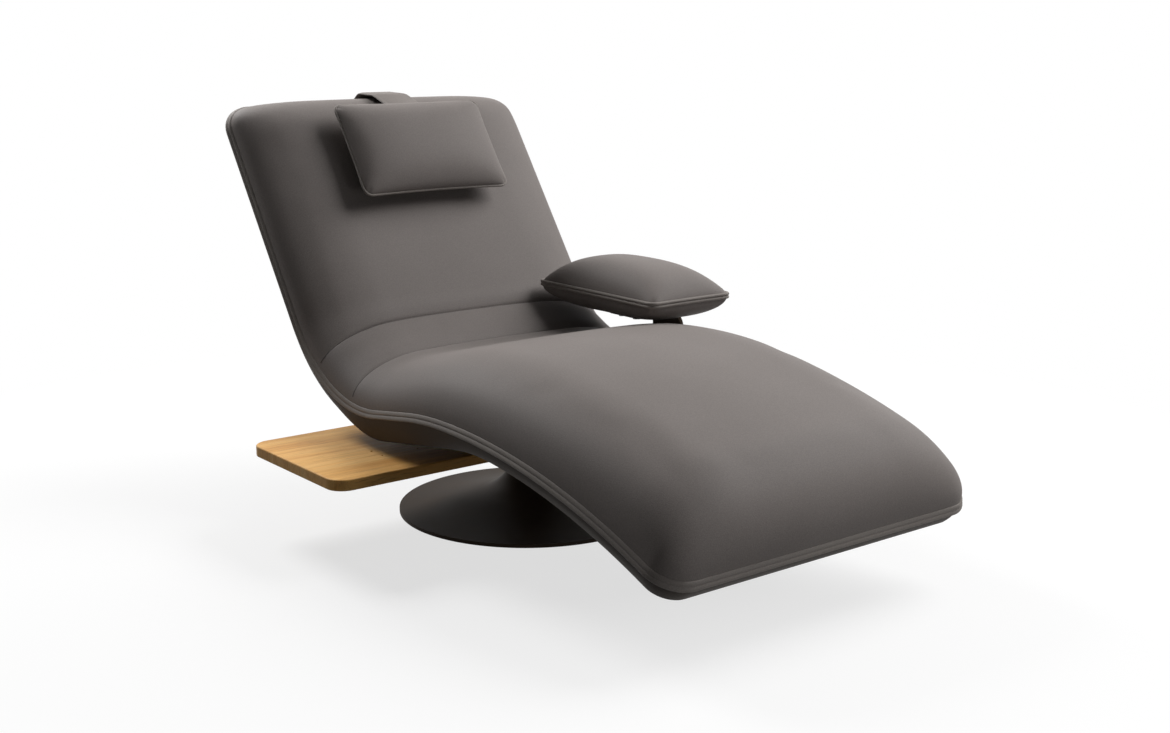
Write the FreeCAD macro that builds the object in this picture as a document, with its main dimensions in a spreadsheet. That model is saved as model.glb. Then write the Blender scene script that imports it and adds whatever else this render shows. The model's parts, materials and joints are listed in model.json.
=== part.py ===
"""Swivel relaxation lounger: an S-shaped upholstered body that turns on a trumpet base.

Millimetres and degrees. The origin is on the floor, on the swivel axis. +Z is up, +Y points to the head,
-Y to the foot, and +X to the sitter's left, where the arm cushion is. The tray is on the -X side.
"""
import FreeCAD, Part
import Sketcher
import functools
import math
import operator
import os

SIZES = {
    # Clearances
    "seat_gap": 0.3,
    "soft_gap": 0.6,
    "run_gap": 0.05,
    "hole_gap": 0.2,
    # Base: floor pad, steel plate and spun trumpet cover
    "base_radius": 300.0,
    "pad_inset": 12.0,
    "pad_height": 3.0,
    "plate_height": 6.0,
    "cover_wall": 2.0,
    "rim_slope": 4.0,
    "flare_slope": 17.0,
    "flare_radius": 110.0,
    "neck_slope": 80.0,
    # Column with its swivel bearing
    "column_radius": 37.0,
    "column_wall": 12.0,
    "column_top": 148.0,
    "column_flange_radius": 78.0,
    "column_flange_height": 8.0,
    "bush_wall": 5.0,
    "bush_length": 36.0,
    "washer_height": 2.0,
    "retainer_height": 5.0,
    "retainer_lift": 4.0,
    # Spindle and the carrier that it bears
    "shoulder_radius": 36.0,
    "shoulder_height": 6.0,
    "journal_radius": 24.0,
    "spindle_flange_radius": 75.0,
    "spindle_flange_height": 7.0,
    "spindle_flange_drop": 48.5,
    "carrier_height": 8.0,
    "carrier_width": 220.0,
    "beam_width": 40.0,
    "beam_height": 28.0,
    "beam_wall": 3.0,
    "front_beam_y": -112.0,
    "rear_beam_y": 120.0,
    # Fasteners
    "bolt_radius": 4.0,
    "bolt_head_radius": 7.0,
    "bolt_head_height": 4.0,
    "column_bolt_circle": 58.0,
    "carrier_bolt_circle": 56.0,
    "bar_bolt_reach": 9.0,
    # Spine: the line of the piping from the head, down the back, over the knee to the foot
    "back_angle": 55.0,
    "back_length": 575.0,
    "dip_y": 60.0,
    "lumbar_radius": 340.0,
    "rise_angle": 8.8,
    "rise_length": 125.0,
    "knee_radius": 900.0,
    "leg_radius": 1680.0,
    "leg_reach": 697.0,
    # Upholstered body
    "half_width": 405.0,
    "corner_radius": 66.0,
    "welt_height": 18.0,
    "welt_width": 14.0,
    "back_crown": 95.0,
    "seat_crown": 99.0,
    "leg_crown": 132.0,
    "edge_height": 10.0,
    "side_roll": 190.0,
    "head_roll": 120.0,
    "foot_roll": 170.0,
    "crown_fall": 0.03,
    "crown_rise": 790.0,
    "crown_full": 1400.0,
    "channel_first": 660.0,
    "channel_second": 810.0,
    "channel_depth": 6.0,
    "channel_width": 44.0,
    "cushion_step": 45.0,
    # Shell under the body
    "shell_wall": 4.0,
    "shell_inset": 4.0,
    "shell_depth": 48.0,
    "belly_depth": 73.0,
    "belly_clearance": 16.0,
    "belly_start": 770.0,
    "belly_full": 930.0,
    "belly_fall": 1100.0,
    "belly_end": 1360.0,
    "shell_step": 70.0,
    "shell_slope": 0.3,
    "shell_round": 14.0,
    # Frame inside the shell
    "frame_half_width": 336.0,
    "frame_thickness": 6.0,
    "frame_drop": 3.0,
    "frame_shell_gap": 2.5,
    "frame_end_inset": 24.0,
    "rail_width": 26.0,
    "rail_height": 20.0,
    "rail_drop": 6.0,
    "rail_wall": 2.0,
    "webbing_width": 62.0,
    "webbing_thickness": 2.8,
    # Arm cushion on its bent bar
    "arm_rise": 191.0,
    "arm_inner_x": 197.0,
    "arm_outer_x": 437.0,
    "arm_front_y": -200.0,
    "arm_rear_y": 227.0,
    "arm_top": 66.0,
    "arm_bottom": 58.0,
    "arm_draw_in": 7.0,
    "arm_board_x": 330.0,
    "arm_board_width": 92.0,
    "arm_board_height": 8.0,
    "arm_board_drop": 46.3,
    "arm_board_end": 85.0,
    "bar_width": 104.0,
    "bar_thickness": 8.0,
    "bar_bend": 40.0,
    "bar_stand_off": 17.0,
    "bar_root_x": 190.0,
    "bar_root_depth": 60.0,
    "bar_slot_rise": 6.0,
    # Neck pillow, its strap and the counterweight behind the back
    "pillow_width": 400.0,
    "pillow_length": 238.0,
    "pillow_thickness": 84.0,
    "pillow_from_head": 95.0,
    "pillow_corner": 24.0,
    "pillow_draw_in": 6.0,
    "strap_width": 106.0,
    "strap_thickness": 3.0,
    "strap_stand_off": 9.0,
    "strap_bend": 55.0,
    "strap_rear_bend": 20.0,
    "strap_parting": 8.0,
    "weight_width": 130.0,
    "weight_length": 150.0,
    "weight_thickness": 24.0,
    "weight_from_head": 190.0,
    # Tray on its swing arm
    "tray_outer_x": 579.0,
    "tray_length": 440.0,
    "tray_front_y": -138.0,
    "tray_width": 381.0,
    "tray_height": 24.0,
    "tray_corner": 40.0,
    "tray_edge": 3.0,
    "tray_arm_width": 76.0,
    "tray_arm_height": 8.0,
    "tray_arm_end": 110.0,
    "tray_arm_lift": 10.0,
    "collar_radius": 40.0,
    "collar_height": 42.0,
    "tray_bush_wall": 3.0,
    "screw_radius": 3.0,
    "screw_head_radius": 6.0,
    "screw_head_height": 3.0,
    "screw_reach": 16.0,
    "screw_spacing": 44.0,
}

SHEET = "sizes"
OPERATIONS = {"+": operator.add, "-": operator.sub, "*": operator.mul, "/": operator.truediv}


class Size:
    """A number together with the sheet expression that drives it."""

    def __init__(self, value, text):
        self.value = float(value)
        self.text = text

    def __float__(self):
        return self.value

    def __add__(self, other):
        return combined(self, "+", other)

    def __sub__(self, other):
        return combined(self, "-", other)

    def __rsub__(self, other):
        return combined(other, "-", self)

    def __mul__(self, other):
        return combined(self, "*", other)

    def __truediv__(self, other):
        return combined(self, "/", other)

    def __neg__(self):
        return combined(0, "-", self)


def combined(left, sign, right):
    """The result of one operation on two sizes or numbers, with its expression."""
    pair = [item if isinstance(item, Size) else Size(item, repr(item)) for item in (left, right)]
    value = OPERATIONS[sign](pair[0].value, pair[1].value)
    return Size(value, f"({pair[0].text} {sign} {pair[1].text})")


def sine(angle):
    return Size(math.sin(math.radians(angle.value)), f"sin({angle.text} * 1 deg)")


def cosine(angle):
    return Size(math.cos(math.radians(angle.value)), f"cos({angle.text} * 1 deg)")


class Dimensions:
    """Every size of the sheet as an attribute."""

    def __init__(self, table):
        for name, value in table.items():
            setattr(self, name, Size(value, f"{SHEET}.{name}"))


doc = FreeCAD.newDocument("lounger")
sheet = doc.addObject("Spreadsheet::Sheet", SHEET)
for row, (name, value) in enumerate(SIZES.items(), start=1):
    sheet.set(f"A{row}", name)
    sheet.set(f"B{row}", str(value))
    sheet.setAlias(f"B{row}", name)
doc.recompute()
d = Dimensions({name: sheet.get(name) for name in SIZES})

# Heights that follow from the stack of pieces, from the floor up to the body.
plate_top = d.pad_height + d.plate_height
column_flange_top = plate_top + d.column_flange_height
spindle_radius = d.column_radius - d.column_wall - d.bush_wall
shoulder_low = d.column_top + d.washer_height
shoulder_top = shoulder_low + d.shoulder_height
collar_low = shoulder_top + d.seat_gap
collar_top = collar_low + d.collar_height
dip_z = collar_top + d.belly_clearance + d.belly_depth
spindle_flange_low = dip_z - d.spindle_flange_drop
spindle_flange_top = spindle_flange_low + d.spindle_flange_height
carrier_top = spindle_flange_top + d.carrier_height
frame_inner_x = d.frame_half_width - d.frame_thickness
bar_root_end = d.bar_root_x + d.bar_root_depth
bar_y = (d.front_beam_y + d.rear_beam_y) / 2
arm_plane = dip_z + d.arm_rise
arm_board_top = arm_plane - d.arm_board_drop
arm_board_low = arm_board_top - d.arm_board_height
tray_arm_low = collar_low + d.tray_arm_lift
tray_low = tray_arm_low + d.tray_arm_height

BOLTS_ON_COLUMN = 6
BOLTS_ON_CARRIER = 4
PILLOW_SECTIONS = 15
PILLOW_END = 0.08
PILLOW_ROLL = 0.6
PILLOW_FALL = 0.06
NODES = []


def node(item, label):
    """Gives a document object the name of its node and lists it for export."""
    item.Label = label
    NODES.append(item)
    return item


def bind(item, **sizes):
    """Binds properties of an object to the sheet."""
    for name, size in sizes.items():
        item.setExpression(name.replace("__", "."), size.text)


def body_of(label):
    return node(doc.addObject("PartDesign::Body", label), label)


def sketch_on(body, role, name):
    """A sketch on one of the body's own origin planes."""
    sketch = body.newObject("Sketcher::SketchObject", name)
    plane = next(item for item in body.Origin.OriginFeatures if item.Role == role)
    sketch.AttachmentSupport = (plane, "")
    sketch.MapMode = "FlatFace"
    return sketch


def hold(sketch, kind, place, size):
    """Adds one dimension to a sketch and binds it to the sheet."""
    index = sketch.addConstraint(Sketcher.Constraint(kind, *place, size.value))
    sketch.setExpression(f"Constraints[{index}]", size.text)


def outline(sketch, corners, radii=None):
    """Draws a closed outline through corners; radii gives (radius, mid point) of the edges that are arcs.

    Every corner's coordinates and every radius are bound to the sheet.
    """
    radii = radii or {}
    flat = [FreeCAD.Vector(float(x), float(y), 0) for x, y in corners]
    starts = []
    for number, start in enumerate(flat):
        end = flat[(number + 1) % len(flat)]
        if number not in radii:
            starts.append((sketch.addGeometry(Part.LineSegment(start, end)), 1, 2))
            continue
        radius, middle = radii[number]
        edge = sketch.addGeometry(Part.Arc(start, FreeCAD.Vector(*middle, 0), end))
        ends = [sketch.getPoint(edge, side).distanceToPoint(start) for side in (1, 2)]
        forward = ends[0] < ends[1]
        starts.append((edge, 1, 2) if forward else (edge, 2, 1))
        hold(sketch, "Radius", (edge,), radius)
    for number, (edge, first, _) in enumerate(starts):
        before, _, last = starts[number - 1]
        sketch.addConstraint(Sketcher.Constraint("Coincident", before, last, edge, first))
        for kind, size in zip(("DistanceX", "DistanceY"), corners[number]):
            hold(sketch, kind, (edge, first), size)


def circle(sketch, x, y, radius):
    """Draws a circle whose centre and radius are bound to the sheet."""
    centre = FreeCAD.Vector(float(x), float(y), 0)
    edge = sketch.addGeometry(Part.Circle(centre, FreeCAD.Vector(0, 0, 1), float(radius)))
    hold(sketch, "Radius", (edge,), radius)
    hold(sketch, "DistanceX", (edge, 3), x)
    hold(sketch, "DistanceY", (edge, 3), y)


def pad(body, sketch, length):
    feature = body.newObject("PartDesign::Pad", f"{body.Name}_pad")
    feature.Profile = sketch
    bind(feature, Length=length)
    sketch.Visibility = False
    return feature


def revolve(body, sketch):
    """Turns a profile round the vertical axis."""
    feature = body.newObject("PartDesign::Revolution", f"{body.Name}_turned")
    feature.Profile = sketch
    feature.ReferenceAxis = (sketch, ["V_Axis"])
    feature.Angle = 360.0
    return feature


def on_circle(radius, count):
    """Places evenly spread on a circle, the first one half a step from the X axis."""
    step = 360 / count
    places = []
    for number in range(count):
        angle = Size(step * (number + 0.5), repr(step * (number + 0.5)))
        places.append((radius * cosine(angle), radius * sine(angle)))
    return places


def disc(label, radius, low, height):
    item = node(doc.addObject("Part::Cylinder", label), label)
    bind(item, Radius=radius, Height=height, Placement__Base__z=low)
    return item


def ring(label, outer, inner, low, height):
    """A sleeve or washer round the swivel axis."""
    solid = doc.addObject("Part::Cylinder", f"{label}_outside")
    hole = doc.addObject("Part::Cylinder", f"{label}_bore")
    bind(solid, Radius=outer, Height=height, Placement__Base__z=low)
    bind(hole, Radius=inner, Height=height, Placement__Base__z=low)
    item = node(doc.addObject("Part::Cut", label), label)
    item.Base = solid
    item.Tool = hole
    return item


def shape_node(label, shape):
    """A sub-part whose shape is worked out below from the sheet's sizes."""
    item = node(doc.addObject("Part::Feature", label), label)
    item.Shape = shape
    item.Placement = FreeCAD.Placement()
    return item


def bolts(label, places, low, reach, head_low, head_radius, head_height, radius):
    """A group of equal bolts along Z: places are (x, y), and the shank starts at low."""
    solids = []
    for x, y in places:
        shank = Part.makeCylinder(float(radius), float(reach), FreeCAD.Vector(float(x), float(y), float(low)))
        head_place = FreeCAD.Vector(float(x), float(y), float(head_low))
        head = Part.makeCylinder(float(head_radius), float(head_height), head_place)
        solids.append(shank.fuse(head).removeSplitter())
    return shape_node(label, Part.makeCompound(solids))


def cylinder_tools(places, radius, low, high):
    """Cutting cylinders along Z for holes."""
    height = float(high) - float(low)
    return [Part.makeCylinder(float(radius), height, FreeCAD.Vector(float(x), float(y), float(low)))
            for x, y in places]


# The base.

def make_floor_pad():
    disc("floor_pad", d.base_radius - d.pad_inset, Size(0, "0"), d.pad_height)


def make_base_plate():
    body = body_of("base_plate")
    sketch = sketch_on(body, "XY_Plane", "base_plate_outline")
    zero = Size(0, "0")
    circle(sketch, zero, zero, d.base_radius - d.cover_wall - d.seat_gap)
    for x, y in on_circle(d.column_bolt_circle, BOLTS_ON_COLUMN):
        circle(sketch, x, y, d.bolt_radius + d.hole_gap)
    pad(body, sketch, d.plate_height)
    bind(body, Placement__Base__z=d.pad_height)


def make_trumpet_cover():
    """Spun cover: a rim, a wide shallow flare and a short tight flare that ends at the column."""
    wall = d.cover_wall
    low = d.pad_height + d.seat_gap
    rim_top = plate_top + d.seat_gap + wall
    neck = d.column_radius + d.seat_gap + wall
    wide = (d.base_radius - d.flare_radius) / (sine(d.flare_slope) - sine(d.rim_slope))
    tight = (d.flare_radius - neck) / (sine(d.neck_slope) - sine(d.flare_slope))
    flare_z = rim_top + wide * (cosine(d.rim_slope) - cosine(d.flare_slope))
    neck_z = flare_z + tight * (cosine(d.flare_slope) - cosine(d.neck_slope))

    def below(x, z, slope):
        """The point one wall under the surface, square to it."""
        return x - wall * sine(slope), z - wall * cosine(slope)

    def middle(x, z, radius, first, last, offset):
        """A point half way along an arc that starts at (x, z) on the outer surface."""
        half = (first.value + last.value) / 2
        centre_x = x.value + radius.value * math.sin(math.radians(first.value))
        centre_z = z.value + radius.value * math.cos(math.radians(first.value))
        reach = radius.value + offset
        turn = math.radians(half)
        return centre_x - reach * math.sin(turn), centre_z - reach * math.cos(turn)

    edge = below(d.base_radius, rim_top, d.rim_slope)
    corners = [
        (d.base_radius, low),
        (d.base_radius, rim_top),
        (d.flare_radius, flare_z),
        (neck, neck_z),
        below(neck, neck_z, d.neck_slope),
        below(d.flare_radius, flare_z, d.flare_slope),
        (d.base_radius - wall, edge[1]),
        (d.base_radius - wall, low),
    ]
    radii = {
        1: (wide, middle(d.base_radius, rim_top, wide, d.rim_slope, d.flare_slope, 0)),
        2: (tight, middle(d.flare_radius, flare_z, tight, d.flare_slope, d.neck_slope, 0)),
        4: (tight + wall, middle(d.flare_radius, flare_z, tight, d.flare_slope, d.neck_slope, wall.value)),
        5: (wide + wall, middle(d.base_radius, rim_top, wide, d.rim_slope, d.flare_slope, wall.value)),
    }
    body = body_of("trumpet_cover")
    sketch = sketch_on(body, "XZ_Plane", "trumpet_profile")
    outline(sketch, corners, radii)
    revolve(body, sketch)


def make_column():
    """Flanged tube, bolted to the plate."""
    bore = d.column_radius - d.column_wall
    body = body_of("column_tube")
    sketch = sketch_on(body, "XZ_Plane", "column_profile")
    outline(sketch, [
        (bore, plate_top),
        (d.column_flange_radius, plate_top),
        (d.column_flange_radius, column_flange_top),
        (d.column_radius, column_flange_top),
        (d.column_radius, d.column_top),
        (bore, d.column_top),
    ])
    revolve(body, sketch)
    doc.recompute()
    before = body.Shape.Volume
    holes = sketch_on(body, "XY_Plane", "column_hole")
    x, y = on_circle(d.column_bolt_circle, BOLTS_ON_COLUMN)[0]
    circle(holes, x, y, d.bolt_radius + d.hole_gap)
    cut = body.newObject("PartDesign::Pocket", "column_pocket")
    cut.Profile = holes
    cut.Reversed = True
    bind(cut, Length=column_flange_top)
    pattern = body.newObject("PartDesign::PolarPattern", "column_pattern")
    pattern.Originals = [cut]
    pattern.Axis = (holes, ["N_Axis"])
    pattern.Angle = 360.0
    pattern.Occurrences = BOLTS_ON_COLUMN
    body.Tip = pattern
    doc.recompute()
    if body.Shape.Volume >= before:
        raise RuntimeError("the column's bolt holes cut nothing")
    bolts("column_bolts", on_circle(d.column_bolt_circle, BOLTS_ON_COLUMN), d.pad_height + d.seat_gap,
          column_flange_top - d.pad_height - d.seat_gap, column_flange_top, d.bolt_head_radius,
          d.bolt_head_height, d.bolt_radius)


def make_bearing():
    """Two bushes in the column, a washer on its top and a disc that keeps the spindle in."""
    outer = d.column_radius - d.column_wall
    inner = spindle_radius + d.run_gap
    retainer_low = plate_top + d.retainer_lift
    ring("lower_bush", outer, inner, retainer_low + d.retainer_height + d.seat_gap, d.bush_length)
    ring("upper_bush", outer, inner, d.column_top - d.bush_length, d.bush_length)
    ring("thrust_washer", d.column_radius, inner, d.column_top, d.washer_height)
    disc("spindle_retainer", outer - d.seat_gap, retainer_low, d.retainer_height)


# The spindle and what it carries.

def make_spindle():
    body = body_of("spindle")
    sketch = sketch_on(body, "XZ_Plane", "spindle_profile")
    zero = Size(0, "0")
    low = plate_top + d.retainer_lift + d.retainer_height
    outline(sketch, [
        (zero, low),
        (spindle_radius, low),
        (spindle_radius, shoulder_low),
        (d.shoulder_radius, shoulder_low),
        (d.shoulder_radius, shoulder_top),
        (d.journal_radius, shoulder_top),
        (d.journal_radius, spindle_flange_low),
        (d.spindle_flange_radius, spindle_flange_low),
        (d.spindle_flange_radius, spindle_flange_top),
        (zero, spindle_flange_top),
    ])
    revolve(body, sketch)
    doc.recompute()
    before = body.Shape.Volume
    holes = sketch_on(body, "XY_Plane", "spindle_holes")
    bind(holes, AttachmentOffset__Base__z=spindle_flange_top)
    for x, y in on_circle(d.carrier_bolt_circle, BOLTS_ON_CARRIER):
        circle(holes, x, y, d.bolt_radius + d.hole_gap)
    cut = body.newObject("PartDesign::Pocket", "spindle_pocket")
    cut.Profile = holes
    bind(cut, Length=d.spindle_flange_height)
    doc.recompute()
    if body.Shape.Volume >= before:
        raise RuntimeError("the spindle's bolt holes cut nothing")


def make_carrier():
    """Plate on the spindle's flange, bolted down, with the two cross beams on it."""
    half = d.carrier_width / 2
    front = d.front_beam_y - d.beam_width / 2
    rear = d.rear_beam_y + d.beam_width / 2
    body = body_of("carrier_plate")
    sketch = sketch_on(body, "XY_Plane", "carrier_outline")
    outline(sketch, [(-half, front), (half, front), (half, rear), (-half, rear)])
    for x, y in on_circle(d.carrier_bolt_circle, BOLTS_ON_CARRIER):
        circle(sketch, x, y, d.bolt_radius + d.hole_gap)
    pad(body, sketch, d.carrier_height)
    bind(body, Placement__Base__z=spindle_flange_top)
    bolts("carrier_bolts", on_circle(d.carrier_bolt_circle, BOLTS_ON_CARRIER), spindle_flange_low,
          d.spindle_flange_height + d.carrier_height, carrier_top, d.bolt_head_radius, d.bolt_head_height,
          d.bolt_radius)


def bar_bolt_places(centre_y, inner_x, outer_x):
    """Two bolts through a bar, set in from both ends of a straight stretch."""
    inset = d.bolt_head_radius * 2
    return [(inner_x + inset, centre_y), (outer_x - inset, centre_y)]


def make_beam(label, centre_y):
    """Square steel tube between the side frames, drilled below for the foot of the arm's bar."""
    half = d.beam_width / 2
    tubes = []
    for grow, name in ((Size(0, "0"), "outside"), (d.beam_wall, "inside")):
        box = doc.addObject("Part::Box", f"{label}_{name}")
        bind(box, Length=frame_inner_x * 2, Width=d.beam_width - grow * 2, Height=d.beam_height - grow * 2,
             Placement__Base__x=-frame_inner_x, Placement__Base__y=centre_y - half + grow,
             Placement__Base__z=carrier_top + grow)
        tubes.append(box)
    tube = doc.addObject("Part::Cut", f"{label}_tube")
    tube.Base, tube.Tool = tubes
    drills = []
    for number, (x, y) in enumerate(bar_bolt_places(centre_y, d.bar_root_x, bar_root_end)):
        drill = doc.addObject("Part::Cylinder", f"{label}_drill_{number}")
        bind(drill, Radius=d.bolt_radius + d.hole_gap, Height=d.beam_height / 2, Placement__Base__x=x,
             Placement__Base__y=y, Placement__Base__z=carrier_top)
        drills.append(drill)
    drill_pair = doc.addObject("Part::MultiFuse", f"{label}_drills")
    drill_pair.Shapes = drills
    beam = node(doc.addObject("Part::Cut", label), label)
    beam.Base = tube
    beam.Tool = drill_pair


# The spine, and pieces that follow it.

class Spine:
    """The piping's line in the YZ plane, as straight runs and tangent arcs from head to foot.

    A place on it is s, the way along it from the head, and t, the height square to it, out of the cushion.
    """

    def __init__(self):
        back = math.radians(float(d.back_angle))
        rise = math.radians(float(d.rise_angle))
        lumbar = float(d.lumbar_radius)
        knee = float(d.knee_radius)
        leg = float(d.leg_radius)
        lumbar_y = float(d.dip_y) + lumbar * math.sin(back)
        lumbar_z = float(dip_z) + lumbar * (1 - math.cos(back))
        length = float(d.back_length)
        start = (lumbar_y + length * math.cos(back), lumbar_z + length * math.sin(back))
        stretches = [
            (length, 0.0),
            (lumbar * (back + rise), -1 / lumbar),
            (float(d.rise_length), 0.0),
            (knee * rise, 1 / knee),
            (leg * math.asin(float(d.leg_reach) / leg), 1 / leg),
        ]
        self.runs = []
        s = 0.0
        heading = math.pi + back
        for run, bend in stretches:
            self.runs.append((s, start, heading, bend))
            start, heading = self.along(start, heading, bend, run)
            s += run
        self.length = s

    @staticmethod
    def along(start, heading, bend, run):
        """Where a run of constant bend leads to, with the new heading."""
        if bend == 0.0:
            return (start[0] + run * math.cos(heading), start[1] + run * math.sin(heading)), heading
        turned = heading + bend * run
        step = ((math.sin(turned) - math.sin(heading)) / bend, (math.cos(heading) - math.cos(turned)) / bend)
        return (start[0] + step[0], start[1] + step[1]), turned

    def place(self, s, t, x=0.0):
        """The point at s and t, in the plane at x."""
        run_start, start, heading, bend = [run for run in self.runs if run[0] <= max(s, 0.0)][-1]
        point, heading = self.along(start, heading, bend, s - run_start)
        return FreeCAD.Vector(x, point[0] + t * math.sin(heading), point[1] - t * math.cos(heading))

    def edges(self, first, last, t, x):
        """Lines and arcs along the spine at height t, from first to last."""
        cuts = [first] + [run[0] for run in self.runs if first < run[0] < last] + [last]
        result = []
        for low, high in zip(cuts, cuts[1:]):
            bend = [run for run in self.runs if run[0] <= max((low + high) / 2, 0.0)][-1][3]
            ends = self.place(low, t, x), self.place(high, t, x)
            if bend == 0.0:
                result.append(Part.LineSegment(*ends).toShape())
            else:
                result.append(Part.Arc(ends[0], self.place((low + high) / 2, t, x), ends[1]).toShape())
        return result

    def band(self, first, last, low, high, x_low, x_high):
        """A solid between two heights along a stretch of the spine, as wide as x_low to x_high."""
        edges = self.edges(first, last, low, x_low) + self.edges(first, last, high, x_low)
        for s in (first, last):
            edges.append(Part.LineSegment(self.place(s, low, x_low), self.place(s, high, x_low)).toShape())
        face = Part.Face(Part.Wire(Part.__sortEdges__(edges)))
        return face.extrude(FreeCAD.Vector(x_high - x_low, 0, 0))

    def plate(self, inset, low, high):
        """A rounded sheet of the body's outline, drawn in by inset."""
        half = float(d.half_width) - inset
        radius = float(d.corner_radius) - inset
        solid = self.band(inset, self.length - inset, low, high, -half, half)
        corners = [edge for edge in solid.Edges if self.is_corner(edge, half, inset)]
        return solid.makeFillet(radius, corners)

    def is_corner(self, edge, half, inset):
        """Whether an edge stands square to the sheet at one of its four corners."""
        if any(abs(abs(vertex.X) - half) > 1e-6 for vertex in edge.Vertexes):
            return False
        middle = edge.CenterOfMass
        for s in (inset, self.length - inset):
            foot = self.place(s, 0.0, middle.x)
            up = self.place(s, 1.0, middle.x) - foot
            away = (middle - foot) - up * (middle - foot).dot(up)
            span = edge.Vertexes[0].Point - edge.Vertexes[-1].Point
            if away.Length < 1e-6 and abs(span.x) < 1e-6 and span.Length > 1e-6:
                return True
        return False


spine = Spine()


def eased(position, start, end):
    """0 before start, 1 after end, and a smooth rise between them."""
    share = min(max((position - start) / (end - start), 0.0), 1.0)
    return share * share * (3 - 2 * share)


def half_width_at(s, inset=0.0):
    """Half the body's width at s, with the plan's round corners."""
    radius = float(d.corner_radius) - inset
    half = float(d.half_width) - inset
    from_end = min(s - inset, spine.length - inset - s)
    if from_end >= radius:
        return half
    return half - radius + math.sqrt(max(radius ** 2 - (radius - max(from_end, 0.0)) ** 2, 0.0))


def rolled(from_edge, roll):
    """How full the cushion stands at a distance from its edge, from 0 at the edge to 1 past the roll."""
    share = min(max(from_edge / roll, 0.0), 1.0)
    return math.sqrt(1 - (1 - share) ** 2.2)


def crown_at(s):
    """Height of the cushion's top over the piping, along its middle."""
    seat = eased(s, float(d.channel_second), float(d.belly_fall))
    leg = eased(s, float(d.crown_rise), float(d.crown_full))
    height = float(d.back_crown) + seat * (float(d.seat_crown) - float(d.back_crown))
    height += leg * (float(d.leg_crown) - float(d.seat_crown))
    ends = rolled(s, float(d.head_roll)) * rolled(spine.length - s, float(d.foot_roll))
    for channel in (float(d.channel_first), float(d.channel_second)):
        if abs(s - channel) < 1e-6:
            height -= float(d.channel_depth)
    return max(height * ends, float(d.edge_height))


def shell_depth_at(s):
    """How far the shell's underside lies below the piping."""
    rise = eased(s, float(d.belly_start), float(d.belly_full))
    fall = eased(s, float(d.belly_fall), float(d.belly_end))
    return float(d.shell_depth) + (rise - fall) * (float(d.belly_depth) - float(d.shell_depth))


def arc(first, middle, last):
    return Part.Arc(first, middle, last).toShape()


def line(first, last):
    return Part.LineSegment(first, last).toShape()


def loft(wires, ruled=False):
    return Part.makeLoft(wires, True, ruled)


def cushion_section(s):
    """One cross section of the cushion: a flat underside, two rolled sides and a crowned top."""
    base = float(d.soft_gap)
    half = half_width_at(s, float(d.welt_width) / 2)
    height = crown_at(s)
    roll = float(d.side_roll)
    shoulder = height * (1 - float(d.crown_fall))
    side = height * rolled(0.3 * roll, roll) * (1 - 2 * float(d.crown_fall))

    def at(x, t):
        return spine.place(s, base + t, x)

    return Part.Wire([
        line(at(half, 0), at(-half, 0)),
        arc(at(-half, 0), at(-half + 0.3 * roll, side), at(-half + roll, shoulder)),
        arc(at(-half + roll, shoulder), at(0, height), at(half - roll, shoulder)),
        arc(at(half - roll, shoulder), at(half - 0.3 * roll, side), at(half, 0)),
    ])


def end_stations(first, last, roll_first, roll_last):
    """Stations close together over the rolled ends of a stretch."""
    shares = (0.0, 0.05, 0.2, 0.5, 1.0, 1.3, 1.8)
    head = [first + share * roll_first for share in shares]
    foot = [last - share * roll_last for share in shares[::-1]]
    return head, foot


def make_cushion():
    inset = float(d.welt_width) / 2
    head, foot = end_stations(inset, spine.length - inset, float(d.head_roll), float(d.foot_roll))
    side = float(d.channel_width) / 2
    marks = []
    for channel in (float(d.channel_first), float(d.channel_second)):
        marks += [channel - side, channel, channel + side]
    span = foot[0] - head[-1]
    count = math.ceil(span / float(d.cushion_step))
    steps = [head[-1] + span * number / count for number in range(1, count)]
    steps = [s for s in steps if min(abs(s - mark) for mark in marks) > side]
    stations = sorted(head + steps + marks + foot)
    shape_node("seat_cushion", loft([cushion_section(s) for s in stations]))


def make_welt():
    """Flat double welt round the whole edge."""
    low = -float(d.welt_height)
    width = float(d.welt_width)
    ring_shape = spine.plate(0.0, low, 0.0).cut(spine.plate(width, low - width, width))
    shape_node("edge_welt", ring_shape)


def shell_section(s, inset, wall, top):
    """One cross section of the shell: sloping sides, round lower corners and a flat bottom."""
    half = half_width_at(s, inset)
    depth = shell_depth_at(s) - wall
    slope = float(d.shell_slope)
    radius = float(d.shell_round)
    shoulder = -float(d.welt_height) - float(d.soft_gap)
    bottom = half - (depth + shoulder) * slope
    turn = math.pi / 4
    rise = radius * (1 - math.cos(turn)) * 2

    def at(x, t):
        return spine.place(s, t, x)

    right = [at(half, top), at(bottom + rise * slope, -depth + rise), at(bottom, -depth + rise / 4),
             at(bottom - radius, -depth)]
    left = [at(-half, top), at(-bottom - rise * slope, -depth + rise), at(-bottom, -depth + rise / 4),
            at(-bottom + radius, -depth)]
    return Part.Wire([
        line(left[0], left[1]),
        arc(left[1], left[2], left[3]),
        line(left[3], right[3]),
        arc(right[3], right[2], right[1]),
        line(right[1], right[0]),
        line(right[0], left[0]),
    ])


def shell_stations(inset):
    """Stations over the round ends of the plan, and evenly along the rest."""
    corner = float(d.corner_radius)
    first, last = end_stations(inset, spine.length - inset, corner, corner)
    low, high = first[-1], last[0]
    count = math.ceil((high - low) / float(d.shell_step))
    return first + [low + (high - low) * number / count for number in range(1, count)] + last


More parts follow.
